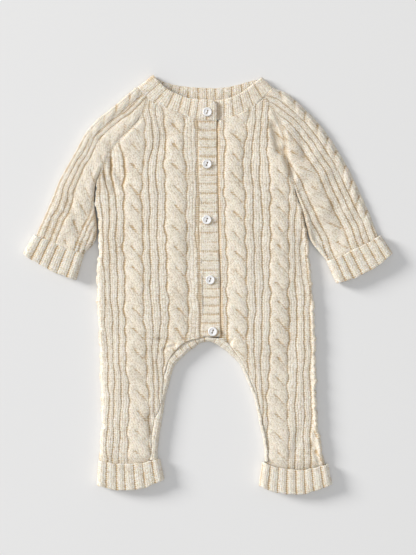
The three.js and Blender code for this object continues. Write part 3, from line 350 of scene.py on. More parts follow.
def knit(x, y, grooves, kinds, ropes, seed):
    """Relief of a front or back, and the places of its stitches, from the grooves between its bands; also how
    far each point is from a groove, where the material paints shade.
    """
    relief = np.zeros_like(x)
    stitch = np.zeros_like(x)
    apart = np.full_like(x, FAR)
    table = np.array(grooves)
    lines = []
    for k in range(1, table.shape[1]):
        scallop = 0
        if k - 1 in ropes or k - 2 in ropes:
            start, pitch = ropes.get(k - 1, ropes.get(k - 2))
            side = 1 if k - 2 in ropes else -1
            scallop = side * 0.7 * np.cos(2 * math.pi * (start - y) / pitch)
        line = across_at(np.column_stack([table[:, k], table[:, 0]]))
        lines.append(line(y) + waves(y, seed + k) + scallop)
    lines = [lines[0] - 9, *lines, lines[-1] + 14]
    if kinds[0] == "flat":
        lines[0] = lines[1] - 9
    for k, kind in enumerate(kinds):
        left, right = lines[k], lines[k + 1]
        inside = (x >= left) & (x < right)
        across = np.where(inside, (x - left) / np.maximum(right - left, 1), 0.5)
        if kind == "cable":
            start, pitch = ropes[k - 1]
            height, line = rope(across, (start - y) / pitch, right - left, pitch)
            columns = slanting(across, y, right - left, k)
            # Painted shade along the line that each crossing strand draws, and a few painted specks over the
            # cable
            apart = np.where(inside, np.minimum(line, SPECKED), apart)
        elif kind == "side":
            height, line = rope(across, (-130 - y) / 24, right - left, 24)
            shown = smooth(y, -110, -130)
            height = mix(rib_height(across), height, shown)
            columns = slanting(across, y, right - left, k)
            apart = np.where(inside & (shown > 0.5), line, apart)
        else:
            height = rib_height(across) * (0.62 if kind == "flat" else 1)
            columns = across * 3 + 10 * k
            if kind == "flat":
                # A few painted specks of shade over the flat columns
                apart = np.where(inside, SPECKED * 0.8, apart)
        relief = np.where(inside, height, relief)
        stitch = np.where(inside, columns, stitch)
    for line in lines[1:-1]:
        apart = np.minimum(apart, np.abs(x - line))
    return relief, stitch, apart


def raglan_loft(y):
    """How far body and sleeve stand up where they meet."""
    return LOFT * mix(0.25, 1, smooth(y, 222, 180))


def troughs(x, y):
    """How deep the soft troughs are at each place."""
    total = np.zeros_like(x)
    for x0, y0, x1, y1, left, right, depth in TROUGHS:
        length = math.hypot(x1 - x0, y1 - y0)
        along = ((x - x0) * (x1 - x0) + (y - y0) * (y1 - y0)) / length
        aside = ((x - x0) * (y1 - y0) - (y - y0) * (x1 - x0)) / length
        half = np.where(aside > 0, left, right)
        beyond = np.maximum(np.maximum(-along, along - length), 0)
        total += depth * np.exp(-(aside / half) ** 2 - (beyond / (left + right) * 2) ** 2)
    return total


# Meshes


def cloth(x, y, z, stitch, course, relief, apart, sunk, name):
    """A grid of knitted cloth. Each array has a row for each line of points, and its columns run so that
    columns cross rows outwards. The points also keep how far they are from a groove and how deep they lie,
    from which the material paints shade in grooves, hollows and troughs and a highlight on crests."""
    rows, columns = x.shape
    bm = bmesh.new()
    bmesh.ops.create_grid(bm, x_segments=columns - 1, y_segments=rows - 1, size=1)
    mesh = bpy.data.meshes.new(name)
    bm.to_mesh(mesh)
    bm.free()
    places = np.empty(len(mesh.vertices) * 3)
    mesh.vertices.foreach_get("co", places)
    places = places.reshape(-1, 3)
    column = np.rint((places[:, 0] + 1) / 2 * (columns - 1)).astype(int)
    row = np.rint((places[:, 1] + 1) / 2 * (rows - 1)).astype(int)
    moved = np.stack([x[row, column] + SHIFT[0], y[row, column] + SHIFT[1], z[row, column]], axis=1) * MM
    mesh.vertices.foreach_set("co", moved.ravel())
    corner = np.empty(len(mesh.loops), np.int32)
    mesh.loops.foreach_get("vertex_index", corner)
    layer = mesh.uv_layers.new(name="stitches")
    flat = np.stack([stitch[row, column][corner], course[row, column][corner]], axis=1)
    layer.data.foreach_set("uv", flat.ravel())
    # Painted shade: how far a point lies in a hollow, a seam dip or a trough; below zero, painted highlight
    # on a crest
    hollow_shade = np.clip((blurred(relief, 2, 3) - relief) / 0.9, -1, 1) + sunk / 6
    for key, values in (("deep", hollow_shade), ("groove", apart)):
        kept = mesh.attributes.new(key, "FLOAT", "POINT")
        kept.data.foreach_set("value", values[row, column])
    mesh.update()
    return mesh


def piece_of(name, meshes, thickness=THICKNESS):
    """One piece from its meshes, with its equal points merged and its cloth given a thickness inwards."""
    bm = bmesh.new()
    for mesh in meshes:
        bm.from_mesh(mesh)
    bmesh.ops.remove_doubles(bm, verts=bm.verts, dist=2e-6)
    flat = [face for face in bm.faces if face.calc_area() < 1e-12]
    bmesh.ops.delete(bm, geom=flat, context="FACES_ONLY")
    loose = [vert for vert in bm.verts if not vert.link_faces]
    bmesh.ops.delete(bm, geom=loose, context="VERTS")
    for face in bm.faces:
        face.smooth = True
    whole = bpy.data.meshes.new(name)
    bm.to_mesh(whole)
    bm.free()
    piece = bpy.data.objects.new(name, whole)
    bpy.context.scene.collection.objects.link(piece)
    if thickness:
        shell = piece.modifiers.new("thickness", "SOLIDIFY")
        shell.thickness = thickness * MM
        shell.offset = -1
    return piece


def dress(piece, material, node=None):
    piece.data.materials.append(material)
    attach(piece, "root")
    if node:
        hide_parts(node)
    return piece


# Fronts


def heights_between(low, high, step, fine=(), fine_step=0.5):
    """Heights from low to high, closer together within the fine range."""
    if not fine:
        return np.linspace(low, high, int((high - low) / step) + 1)
    parts = [(low, fine[0], step), (fine[0], fine[1], fine_step), (fine[1], high, step)]
    return np.unique(np.concatenate([np.linspace(a, b, int((b - a) / s) + 2) for a, b, s in parts]))


def hem_at(hem, x):
    x0, y0, x1, y1, bow = hem
    part = np.clip((x - x0) / (x1 - x0), 0, 1)
    return mix(y0, y1, part) - bow * np.sin(math.pi * part)


def panel_grid(sign, side, raglan, inner_at, heights, width):
    """Places of a panel's points: from its side to its inner edge, closer together on the soft side edge."""
    underarm = side[0][1]
    side_at, raglan_at = across_at(side), across_at(raglan)
    bumps = 0.5 * waves(heights, 50 + sign, (41, 23, 13, 7.3), (1, 0.9, 0.9, 0.7))
    outer = np.where(heights > underarm, raglan_at(heights) + sign * OVERLAP, side_at(heights) + bumps)
    inner = inner_at(heights)
    across = np.maximum(np.abs(inner - outer), 0.05)
    closed = smooth(heights, underarm + 10, underarm - 3)
    angles = np.linspace(0, math.pi / 2, 8)
    rolled = ROLL * (1 - np.cos(angles))
    count = int(width / STEP_ACROSS)
    rest = np.linspace(0, 1, count)[1:]
    near = np.minimum(rolled[None, :], across[:, None] * 0.3)
    start = near[:, -1:]
    inward = np.hstack([near, start + (across[:, None] - start) * rest[None, :]])
    x = outer[:, None] - sign * inward
    y = np.repeat(heights[:, None], x.shape[1], axis=1)
    return x, y, inward, across[:, None] - inward, closed[:, None]


def front(name, on_left, side, raglan, neck, band, inseam, hem, grooves, kinds, ropes, gap):
    sign = -1 if on_left else 1
    seams = np.array([(row[2], row[3]) for row in inseam])
    away = np.array([(row[2] - row[0], row[3] - row[1]) for row in inseam])
    seams = seams - away / np.linalg.norm(away, axis=1, keepdims=True) * OVERLAP
    neck_at, band_at, seam_at = across_at(neck), across_at(band), across_at(seams)
    neck_end, crotch, leg_end = neck[-1][1], seams[0][1], inseam[-1][3]

    def inner_at(height):
        at_band = band_at(np.minimum(height, band[0][1])) - sign * TUCK
        at_seam = np.minimum(at_band, seam_at(height)) if on_left else np.maximum(at_band, seam_at(height))
        below = np.where(height > crotch, at_band, at_seam)
        at_neck = neck_at(height - NECK_TUCK)
        above = np.maximum(at_neck, at_band) if not on_left else np.minimum(at_neck, at_band)
        return np.where(height > neck_end, above, below)

    heights = heights_between(leg_end, raglan[0][1] + 1.0, STEP_ALONG, (crotch - 12, crotch + 1))
    x, y, inward, to_inner, closed = panel_grid(sign, side, raglan, inner_at, heights, 122)
    closed = np.interp(heights, SHUT_HEIGHTS, SHUT_PARTS)[:, None]
    hang = smooth(y, leg_end + 24, leg_end)
    y = y + (hem_at(hem, x) - TUCK - leg_end) * hang
    relief, stitch, apart = knit(x, y, grooves, kinds, ropes, 7 if on_left else 40)
    if on_left:
        # The grooves by the left armpit are pulled open, and their painted shade is widened
        pulled = np.exp(-((x + 112) / 14) ** 2 - ((y - 138) / 20) ** 2)
        relief = relief - pulled * np.exp(-(apart / 1.3) ** 2)
        apart = apart - 1.5 * pulled
    at_neck = y > neck_end
    beside_band = (~at_neck) & (y > crotch)
    to_band = to_inner - TUCK
    edge = np.exp(-(to_inner / 1.6) ** 2) * np.where(at_neck, mix(1.3, 0.4, smooth(y, 206, 220)), 0.3)
    edge = np.where(beside_band, gap * smooth(to_band, 1.6, -0.6), edge)
    seam_edge = (1 - closed) * np.exp(-(inward / 0.7) ** 2) * 0.12
    low = np.maximum(ROLL - inward, 0)
    turned = ROLL - np.sqrt(np.maximum(ROLL ** 2 - low ** 2, 0))
    fade = smooth(inward, mix(1.3, 0, closed), mix(6, 3, closed))
    fade = fade * smooth(np.where(beside_band, to_band, to_inner), 0, 1.5)
    # The cuff sits on the leg and presses it down
    above_cuff = y - hem_at(hem, x)
    pressed = smooth(above_cuff, 9, -1)
    fade = fade * smooth(above_cuff, -2, 1) * mix(1, 0.7, pressed)
    relief = relief * fade
    # The panel swells away from its soft edges, and less beside the neck and the band
    neck_line = curve(neck, np.linspace(0, 1, 60))[::-sign]
    below_neck = np.interp(x, neck_line[:, 0], neck_line[:, 1]) - y
    beside = np.minimum(smooth(below_neck, 0, 35), np.where(y > crotch, smooth(to_band, 0, 30), 1))
    inner = np.where(y > crotch, 1, mix(1 - np.exp(-to_inner / 12), 1, smooth(y, crotch - 25, crotch)))
    loft = LOFT * mix(1, 1 - np.exp(-inward / 12), closed) * inner * mix(0.2, 1, beside)
    loft = mix(loft, mix(raglan_loft(y), loft, smooth(inward, 1.5, 14)), 1 - closed)
    soft = 0.45 * hills(x, y, 3)
    lower = SLOPE * smooth(x, 15, 130) * mix(1, smooth(inward, 0, 8), closed)
    # Troughs and the cuff's press lower the cloth; through the deep attribute they also get painted shade
    sunk = troughs(x, y) * mix(1, smooth(inward, 0, 8), closed) + 1.8 * pressed
    z = LAID + loft + soft * smooth(inward, 0, 8) - sunk - lower + relief - closed * turned - edge - seam_edge
    shape = relief - edge - seam_edge
    course = y / COURSE
    order = slice(None) if on_left else slice(None, None, -1)
    # Painted shade along the side edges beside the sleeves, along the raglan seam, as painted shadow beside
    # the button band, and along the neck and inseam edges
    by_sleeve = smooth(y, 45, 60) * smooth(y, 135, 120)
    at_edge = inward * 0.5 + 0.2 + 3 * (1 - by_sleeve)
    apart = np.minimum(apart, np.where(closed > 0.5, at_edge, np.abs(inward - 1.8) + 0.5))
    apart = np.minimum(apart, np.where(beside_band, np.abs(to_band - 0.4) * 0.6 - 0.3, to_inner + 0.1))
    arrays = [a[:, order] for a in (x, y, z, stitch, course, shape, apart, sunk)]
    return piece_of(name, [cloth(*arrays, name)])


# Back


def back():
    meshes = []
    sides = (
        (
            -1, LEFT_SIDE, LEFT_RAGLAN, BACK_NECK[:4], LEFT_INSEAM, LEFT_HEM,
            LEFT_GROOVES, LEFT_KINDS, LEFT_ROPES,
        ),
        (
            1, RIGHT_SIDE, RIGHT_RAGLAN, BACK_NECK[:2:-1], RIGHT_INSEAM, RIGHT_HEM,
            RIGHT_GROOVES, RIGHT_KINDS, RIGHT_ROPES,
        ),
    )
    for sign, side, raglan, neck, inseam, hem, grooves, kinds, ropes in sides:
        neck_at = across_at(neck)
        edge = np.array([(row[0], row[1]) for row in inseam], float)
        along = np.gradient(edge, axis=0)
        along /= np.linalg.norm(along, axis=1, keepdims=True)
        inset = edge + np.column_stack([sign * -along[:, 1], sign * along[:, 0]]) * ROLL
        inset[0] = (2, edge[0][1] + ROLL)
        inset_at = across_at(inset)
        neck_end, crotch, leg_end = neck[-1][1], inset[0][1], inseam[-1][1]

        def inner_at(height):
            below = np.where(height > crotch, 2.0, inset_at(height))
            return np.where(height > neck_end, neck_at(height), below)

        heights = heights_between(leg_end, 222.6, 2.4, (crotch - 12, crotch), 0.6)
        x, y, inward, to_inner, closed = panel_grid(sign, side, raglan, inner_at, heights, 105)
        y = y + (hem_at(hem, x) - leg_end) * smooth(y, leg_end + 24, leg_end)
        relief, stitch, apart = knit(x, y, grooves, kinds, ropes, 90)
        relief = np.minimum(relief, RIB * 0.8)
        low = np.maximum(ROLL - inward, 0)
        turned = (ROLL - np.sqrt(np.maximum(ROLL ** 2 - low ** 2, 0))) * (MIDDLE - SEAM / 2) / ROLL
        fade = smooth(inward, 0, 4) * smooth(y - hem_at(hem, x), 0, 2.5)
        relief = relief * fade + RIB * 0.8 * (1 - fade)
        z = closed * turned + (RIB * 0.8 - relief) * 0.6
        order = slice(None, None, -1) if sign < 0 else slice(None)
        arrays = [a[:, order] for a in (x, y, z, stitch, y / COURSE, relief, apart, 0 * x)]
        meshes.append(cloth(*arrays, "back half"))
    return piece_of("back_panel", meshes)


def inseam_binding():
    """The edge of the back that is wrapped forward over the inseam, with chunky cross ribs."""
    edge_x, edge_y, seam_x, seam_y = LEFT_INSEAM[-1]
    under_cuff = (edge_x, edge_y - BINDING_TUCK, seam_x, seam_y - BINDING_TUCK)
    rows = [under_cuff] + LEFT_INSEAM[:0:-1] + RIGHT_INSEAM
    part = np.linspace(0, 1, 420)
    line = curve(rows, part)
    edge, seam = line[:, :2], line[:, 2:]
    width = np.linalg.norm(seam - edge, axis=1)
    into = (seam - edge) / width[:, None]
    run = np.concatenate([[0], np.cumsum(np.linalg.norm(np.diff(edge, axis=0), axis=1))])
    last = np.arccos(np.clip(1 - width / ROLL, 0, 1))
    turns = np.linspace(0, 1, 10)
    under = [
        (ROLL * (1 - math.cos(a)), MIDDLE * (1 - math.sin(a)))
        for a in np.linspace(math.pi / 2, 0, 8)[:-1]
    ]
    inward = [np.full_like(width, ROLL + 2)]
    height = [np.zeros_like(width)]
    lift = [0.0]
    for place, up in under:
        inward.append(np.full_like(width, place))
        height.append(np.full_like(width, up))
        lift.append(0.0)
    for turn in turns:
        angle = last * turn
        inward.append(ROLL * (1 - np.cos(angle)))
        height.append(MIDDLE + ROLL * np.sin(angle))
        lift.append(min(1.0, turn * 2))
    beyond = np.maximum(width - ROLL, 0)
    top = MIDDLE + ROLL * np.sin(last)
    for share, up in ((0.35, 1.0), (0.7, 0.85), (0.95, 0.6), (1.0, 0.45)):
        inward.append(np.maximum(inward[-1], ROLL * (1 - np.cos(last)) + beyond * share) + 0.02)
        height.append(top)
        lift.append(up)
    inward, height = np.array(inward), np.array(height)
    lift = np.array(lift)[:, None]
    # Chunky ribs at the crotch, flatter ones down the legs
    at_crotch = np.exp(-((run - 150) / 38) ** 2)
    chunky = smooth(run, 0, 6) * mix(0.3, 1, at_crotch) * mix(1, 0.5, smooth(run, 185, 215))
    along = run / 9.6 + 0.05 * waves(run, 5)
    ribs = rib_height(along - np.floor(along)) * 0.75
    relief = ribs[None, :] * lift * chunky[None, :]
    puckers = 0.5 * waves(run, 11, (23, 13, 8), (0.5, 0.4, 0.3))[None, :]
    x = edge[None, :, 0] + into[None, :, 0] * (inward + puckers * (lift > 0.2))
    y = edge[None, :, 1] + into[None, :, 1] * (inward + puckers * (lift > 0.2))
    z = height + relief + lift
    course = np.repeat((run / COURSE)[None, :], len(inward), axis=0)
    stitch = np.repeat((np.arange(len(inward)) * 0.35)[:, None], len(run), axis=1)
    # Painted shade in the rib grooves, most at the chunky ribs, and along the seam
    apart = np.abs(along - np.rint(along))[None, :] * 9.6 + (1 - lift) * 2 + (1.2 - chunky[None, :]) * 1.2
    apart[-1] = 0.2
    return piece_of("inseam_binding", [cloth(x, y, z, stitch, course, relief, apart, 0 * x, "inseam")], 1.2)


# Sleeves


def sleeve(name, on_left, rows, bands, raglan, side, turned, seed):
    sign = -1 if on_left else 1
    path = curve([row[:2] for row in rows], np.linspace(0, 1, 400))
    length = np.linalg.norm(np.diff(path, axis=0), axis=1).sum()
    part = np.linspace(0, 1, int(length / STEP_ALONG))
    fold = curve([row[:2] for row in rows], part)
    edge = curve([row[2:4] for row in rows], part)
    body = np.where(edge[:, 1] > side[0][1], across_at(raglan)(edge[:, 1]), across_at(side)(edge[:, 1]))
    onto = OVERLAP + 0.9 * smooth(edge[:, 1], 54, 70)
    edge[:, 0] = np.minimum(edge[:, 0], body + onto) if on_left else np.maximum(edge[:, 0], body - onto)
    closed = np.interp(edge[:, 1:], SHUT_HEIGHTS, SHUT_PARTS)
    width = np.linalg.norm(edge - fold, axis=1)[:, None]
    into = (edge - fold) / width
    run = np.concatenate([[0], np.cumsum(np.linalg.norm(np.diff(fold, axis=0), axis=1))])[:, None]

    insets = np.array([0, 0.25, 0.8, 1.7, 2.9])
    shares = np.linspace(0, 1, int(60 / STEP_ACROSS))
    turns = np.linspace(math.pi / 2, -math.pi / 2, 11)[1:-1]
    under_shares = np.linspace(0, 1, 24)

    def layer(upper, share_list, with_edge):
        """Distance from the fold, height and distance from the edge on one flat layer."""
        at = ROLL + (width - 2 * ROLL) * share_list[None, :]
        if with_edge:
            at = np.hstack([at, width - insets[None, ::-1]])
        inset = width - at
        reach = np.maximum(ROLL - np.maximum(inset, 0), 0)
        shut = np.sqrt(np.maximum(ROLL ** 2 - reach ** 2, 0))
        height = mix(ROLL, shut, closed * (inset < ROLL))
        return at, MIDDLE + (height if upper else -height), inset

    top_at, top_z, top_inset = layer(True, shares, True)
    low_at, low_z, low_inset = layer(False, under_shares, True)
    fold_at = np.repeat((ROLL * (1 - np.cos(turns)))[None, :], len(part), axis=0)
    fold_z = np.repeat((MIDDLE + ROLL * np.sin(turns))[None, :], len(part), axis=0)
    # From the edge over the top to the fold, and back beneath
    at = np.hstack([top_at[:, ::-1], fold_at, low_at])
    z = np.hstack([top_z[:, ::-1], fold_z, low_z])
    inset = np.hstack([top_inset[:, ::-1], width - fold_at, low_inset])
    round_fold = (np.sin(turns) * 0.5 + 0.5)[None, :] * np.ones_like(fold_at)
    upper = np.hstack([np.ones_like(top_at), round_fold, 0 * low_at])

    relief = np.zeros_like(at)
    stitch = np.zeros_like(at)
    apart = np.full_like(at, FAR)
    wavy = at + waves(run, seed) * smooth(at, 0, 8)
    if on_left:
        # The ribs by the fold grow wider towards the cuff
        wavy = wavy - 6.5 * smooth(run, 90, 200) * smooth(at, 0, 25)
    for k, (start, end, kind) in enumerate(bands):
        inside = (wavy >= start) & (wavy < end)
        across = np.clip((wavy - start) / (end - start), 0, 1)
        if kind == "cable":
            rightward = across if on_left else 1 - across
            crossings = (run - SLEEVE_ROPE[0]) / SLEEVE_ROPE[1]
            height, line = rope(rightward, crossings, end - start, SLEEVE_ROPE[1])
            columns = slanting(rightward, -run, end - start, k)
            apart = np.where(inside, np.minimum(line, SPECKED), apart)
        else:
            height = rib_height(across)
            columns = across * 3 + 10 * k
        relief = np.where(inside, height, relief)
        stitch = np.where(inside, columns, stitch)
        # Painted shade along the grooves between the bands
        if start > 0:
            apart = np.minimum(apart, np.abs(wavy - start))
    # A second cable rides on the shoulder fold and turns under it further down
    beside = np.where(upper >= 0.5, at, -at)
    on_fold = (beside + 6) / 18
    knotted, line = rope(np.clip(on_fold, 0, 1), run / 20 + 0.3, 18, 20)
    ride = smooth(run, turned, turned - 40) * ((on_fold > 0) & (on_fold < 1))
    relief = mix(relief, knotted * 1.3, ride)
    # Painted shade along the strands of the fold's cable
    apart = np.where(ride > 0.5, np.minimum(line, np.abs(on_fold - 1) * 18), apart)
    ends = smooth(run, 0, 3) * smooth(run[-1] - run, 0, 2.5)
    fade = smooth(inset, 0, 4.5) * ends
    relief = relief * fade * (0.8 if on_left else 1)
    flank = upper * (1 - upper) * 4
    swell = (1 - np.exp(-at / 12)) * mix(1, 1 - np.exp(-np.maximum(inset, 0) / 12), closed)
    loft = LOFT * swell * mix(0.3, 1, smooth(run, 0, 30))
    open_loft = mix(raglan_loft(edge[:, 1:]), loft, smooth(inset, 1.5, 14))
    loft = mix(loft, open_loft, 1 - closed) * (upper > 0.9)
    seam_edge = (1 - closed) * np.exp(-(inset / 1.5) ** 2) * 0.12 * (upper > 0.9)
    side_push = relief * flank * 0.8
    beyond = at - side_push
    x = fold[:, :1] + into[:, :1] * beyond
    y = fold[:, 1:] + into[:, 1:] * beyond
    # Troughs lower the cloth; through the deep attribute they also get painted shade
    sunk = troughs(x, y) * (upper > 0.9) * smooth(at, 0, 9) * mix(1, smooth(inset, 0, 3), closed)
    soft = 0.5 * hills(x, y, 5) * (upper > 0.9) * smooth(at, 0, 9) * smooth(inset, 0, 6) - sunk
    beneath = (RIB - np.minimum(relief, RIB)) * 0.5 * smooth(at, 3, 8) * smooth(inset, 3, 8)
    lifted = np.where(upper >= 0.5, relief * upper, beneath)
    z = z + loft + lifted + soft - seam_edge + (LAID - MIDDLE - ROLL) * upper
    z = z - 0.6 * smooth(run, 3, 0) * upper
    if not on_left:
        flatter = 3.2 * smooth(x, 92, 185) * smooth(run, 0, 30) * mix(1, 0.6, smooth(run[-1] - run, 30, 0))
        z = z - (SLOPE * smooth(x, 15, 130) + flatter) * upper * mix(1, smooth(inset, 0, 8), closed)
    shape = relief - seam_edge
    course = np.repeat(run / COURSE, at.shape[1], axis=1)
    # Rows run up the sleeve, and columns go from left to right over the top
    order = (slice(None, None, -1), slice(None, None, -1) if on_left else slice(None))
    # Painted shade along the underarm edges beside the body and along the raglan seam
    by_body = smooth(edge[:, 1:], 45, 60)
    at_edge = np.abs(inset) * 0.5 + 0.2 + 3 * (1 - by_body)
    apart = np.minimum(apart, np.where(closed > 0.5, at_edge, inset + 0.5))
    arrays = [a[order] for a in (x, y, z, stitch, course, shape, apart, sunk)]
    return piece_of(name, [cloth(*arrays, name)])


# Cuffs


def cuff(name, top, fold, top_bow, fold_bow, ribs, seed):
    """A turned-up cuff: a flattened ring with ribs round it, a rounded fold below and a lip above."""
    top, fold = np.array(top, float), np.array(fold, float)
    down = (fold[:2] + fold[2:] - top[:2] - top[2:])
    down = down / np.linalg.norm(down)
    top_width = np.linalg.norm(top[2:] - top[:2])
    fold_width = np.linalg.norm(fold[2:] - fold[:2])
    length = np.linalg.norm((fold[:2] + fold[2:] - top[:2] - top[2:]) / 2)
    radius = CUFF_TOP / 2
    # Down the cuff: a part of its length, and how far inside the outer face
    tucked = [(0.55, 5.2), (0.8, 5.0), (0.92, 4.4)]
    turn = [(0.975 + 0.025 * math.sin(a), 2.2 + 2.2 * math.cos(a)) for a in np.linspace(0.2, math.pi, 8)[:-1]]
    face = [(1 - s, 0.0) for s in np.linspace(0.05, 0.95, int(length / 1.3))]
    lip = [(0.02 - 0.035 * math.sin(a), 1.1 - 1.1 * math.cos(a)) for a in np.linspace(0.3, math.pi, 7)]
    profile = np.array(tucked + turn + face + lip)
    t, sunk = profile[:, :1], profile[:, 1:]
    width = mix(top_width, fold_width, t)
    flat = np.linspace(0, 1, int(top_width / 0.9))
    turns = np.linspace(0, math.pi, 15)[1:-1]
    size = radius - sunk
    # Round the ring: over the top from left to right, round the right side,
    # back beneath, and up the left side
    across = [radius + (width - 2 * radius) * flat[None, :]]
    height = [radius + size * np.ones_like(flat)[None, :]]
    lift = [np.ones_like(flat)]
    across.append(width - radius + size * np.sin(turns)[None, :])
    height.append(radius + size * np.cos(turns)[None, :])
    lift.append(np.clip(np.cos(turns) * 1.5, 0, 1))
    under = np.linspace(1, 0, 26)
    across.append(radius + (width - 2 * radius) * under[None, :])
    height.append(radius - size * np.ones_like(under)[None, :])
    lift.append(0 * under)
    across.append(radius - size * np.sin(turns[::-1])[None, :])
    height.append(radius + size * np.cos(turns[::-1])[None, :])
    lift.append(np.clip(np.cos(turns[::-1]) * 1.5, 0, 1))
    across.append(across[0][:, :1])
    height.append(height[0][:, :1])
    lift.append(np.ones(1))
    across, height, lift = np.hstack(across), np.hstack(height), np.concatenate(lift)[None, :]
    part = across / width
    place = part * ribs + 0.05 * waves(t * length, seed)
    place = place + 0.06 * waves(part * top_width, seed + 1, (41, 23), (0.7, 0.4))
    outside = np.clip(1 - sunk / 3, 0, 1)
    relief = rib_height(place - np.floor(place), 1.9) * 1.7 * outside * lift
    bow = mix(top_bow, fold_bow, t) * np.sin(math.pi * np.clip(part, 0, 1))
    wobble = 0.35 * waves(part * top_width, seed + 2, (31, 17, 11), (1, 0.7, 0.5))
    start = top[None, None, :2] + (top[2:] - top[:2])[None, None, :] * part[..., None]
    end = fold[None, None, :2] + (fold[2:] - fold[:2])[None, None, :] * part[..., None]
    spot = start + (end - start) * t[..., None] + down[None, None, :] * (bow + wobble)[..., None]
    x, y = spot[..., 0], spot[..., 1]
    z = height + relief + 0.3 * lift * hills(x, y, seed)
    z = np.maximum(z, 0)
    stitch = place * 4
    course = np.repeat(t * length / COURSE, x.shape[1], axis=1)
    # Painted shade in the rib grooves, less beneath and on the tucked part
    apart = np.abs(place - np.rint(place)) * top_width / ribs + (1 - lift) * 2 + sunk * 0.5
    return piece_of(name, [cloth(x, y, z, stitch, course, relief, apart, 0 * x, name)], 1.0)


# Neckband and button band


def to_painted_button_shadow(x, y):
    """Distance from the painted shadow round each button, moved a little towards the lower right."""
    button_shadows = [np.hypot(x - place[0] - 0.9, y - place[1] + 0.9) for place in BUTTON_PLACES]
    return np.maximum(np.minimum.reduce(button_shadows) - 5.4, 0) * 1.2 + 0.1


def neckband():
    """The ribbed band round the neck: over the fronts, turned at each shoulder, and behind."""
    seams, frees, lifts, turns, outs = [], [], [], [], []

    def stretch(rows, turn):
        part = np.linspace(0, 1, int(curve_length([row[2:4] for row in rows]) / 0.85))
        line = curve([row[:4] for row in rows], part)
        seams.append(line[:, :2])
        frees.append(line[:, 2:])
        lifts.append(np.interp(part * (len(rows) - 1), range(len(rows)), [row[4] for row in rows]))
        turns.append(np.full(len(part), float(turn)))
        outs.append(np.zeros((len(part), 2)))

    def shoulder(row, start, end):
        out = np.array([row[1] - row[3], row[2] - row[0]], float)
        out *= math.copysign(1, out[1]) / np.linalg.norm(out)
        part = np.linspace(0, 1, 14)[1:-1]
        seams.append(np.repeat([row[:2]], len(part), axis=0))
        frees.append(np.repeat([row[2:4]], len(part), axis=0))
        lifts.append(0 * part)
        turns.append(mix(start, end, part))
        outs.append(np.repeat([out], len(part), axis=0))

    stretch(NECK_FRONT_LEFT, 0)
    shoulder(NECK_BACK[0], 0, 1)
    stretch(NECK_BACK, 1)
    shoulder(NECK_FRONT_RIGHT[0], 1, 0)
    stretch(NECK_FRONT_RIGHT, 0)
    seam, free, lift, turn, out = (np.concatenate(a) for a in (seams, frees, lifts, turns, outs))
    lift, turn = lift[:, None], turn[:, None]
    share = np.concatenate([[0, 0.02, 0.05], np.linspace(0.09, 0.93, 18), [0.965, 0.99, 1]])
    drop = np.concatenate([[0.6, 0.2, 0.0], np.zeros(18), [0.15, 0.7, 1.7]])[None, :]
    path = np.linalg.norm(np.diff(free, axis=0), axis=1)
    run = np.concatenate([[0], np.cumsum(path)])
    place = run[:, None] / NECK_RIB_WIDTH + 0.03 * waves(share[None, :] * 25, 21)
    place = place + 0.06 * waves(run, 22, (43, 29), (1, 0.8))[:, None]
    ends = smooth(run, 0, 2)[:, None] * smooth(run[-1] - run, 0, 2)[:, None]
    ribs = rib_height(place - np.floor(place)) * smooth(share, -0.03, 0.05)[None, :]
    ribs = ribs * smooth(1 - share, -0.03, 0.08)[None, :]
    facing = np.cos(math.pi * turn)
    size = ROLL - 0.6 + (ribs - drop * (facing > 0)) * np.where(facing > 0, 1, 0) * ends
    size = np.where(facing < 0, ROLL - ribs * 0.8, size)
    x = mix(seam[:, :1], free[:, :1], share[None, :]) + out[:, :1] * size * np.sin(math.pi * turn)
    y = mix(seam[:, 1:], free[:, 1:], share[None, :]) + out[:, 1:] * size * np.sin(math.pi * turn)
    round_corner = (1 - smooth(run, 0, 5)[:, None]) * share[None, :] ** 3 * 4
    rise = np.where(lift > 0, lift * smooth(share, -0.1, 0.45)[None, :], lift)
    z = MIDDLE + size * facing + rise + 1.7 * (facing > 0) + 0.4 * np.clip(lift, 0, 1)
    z = z - SLOPE * smooth(x, 15, 130) * np.clip(facing, 0, 1)
    y = y - round_corner
    stitch = place * 4
    course = np.repeat((share * 25 / COURSE)[None, :], len(run), axis=0)
    relief = np.where(facing > 0, ribs - drop, ribs)
    # Painted shade in the rib grooves, along the seam edge and as painted shadow round the buttons
    apart = np.minimum(np.abs(place - np.rint(place)) * NECK_RIB_WIDTH, share[None, :] * 24 + 0.3)
    apart = np.minimum(apart, np.where(turn > 0, FAR, to_painted_button_shadow(x, y)))
    # Painted shade only, through the deep attribute: a little over the part behind the neck, strongly on the
    # end that lies beneath the overlap
    sunk = 1.2 * turn + 4 * (lift < -0.5) * smooth(x, 18.5, 14)
    return piece_of("neck_band", [cloth(x, y, z, stitch, course, relief, apart, sunk, "neckband")], 2.0)


def curve_length(points):
    line = curve(points, np.linspace(0, 1, 300))
    return np.linalg.norm(np.diff(line, axis=0), axis=1).sum()


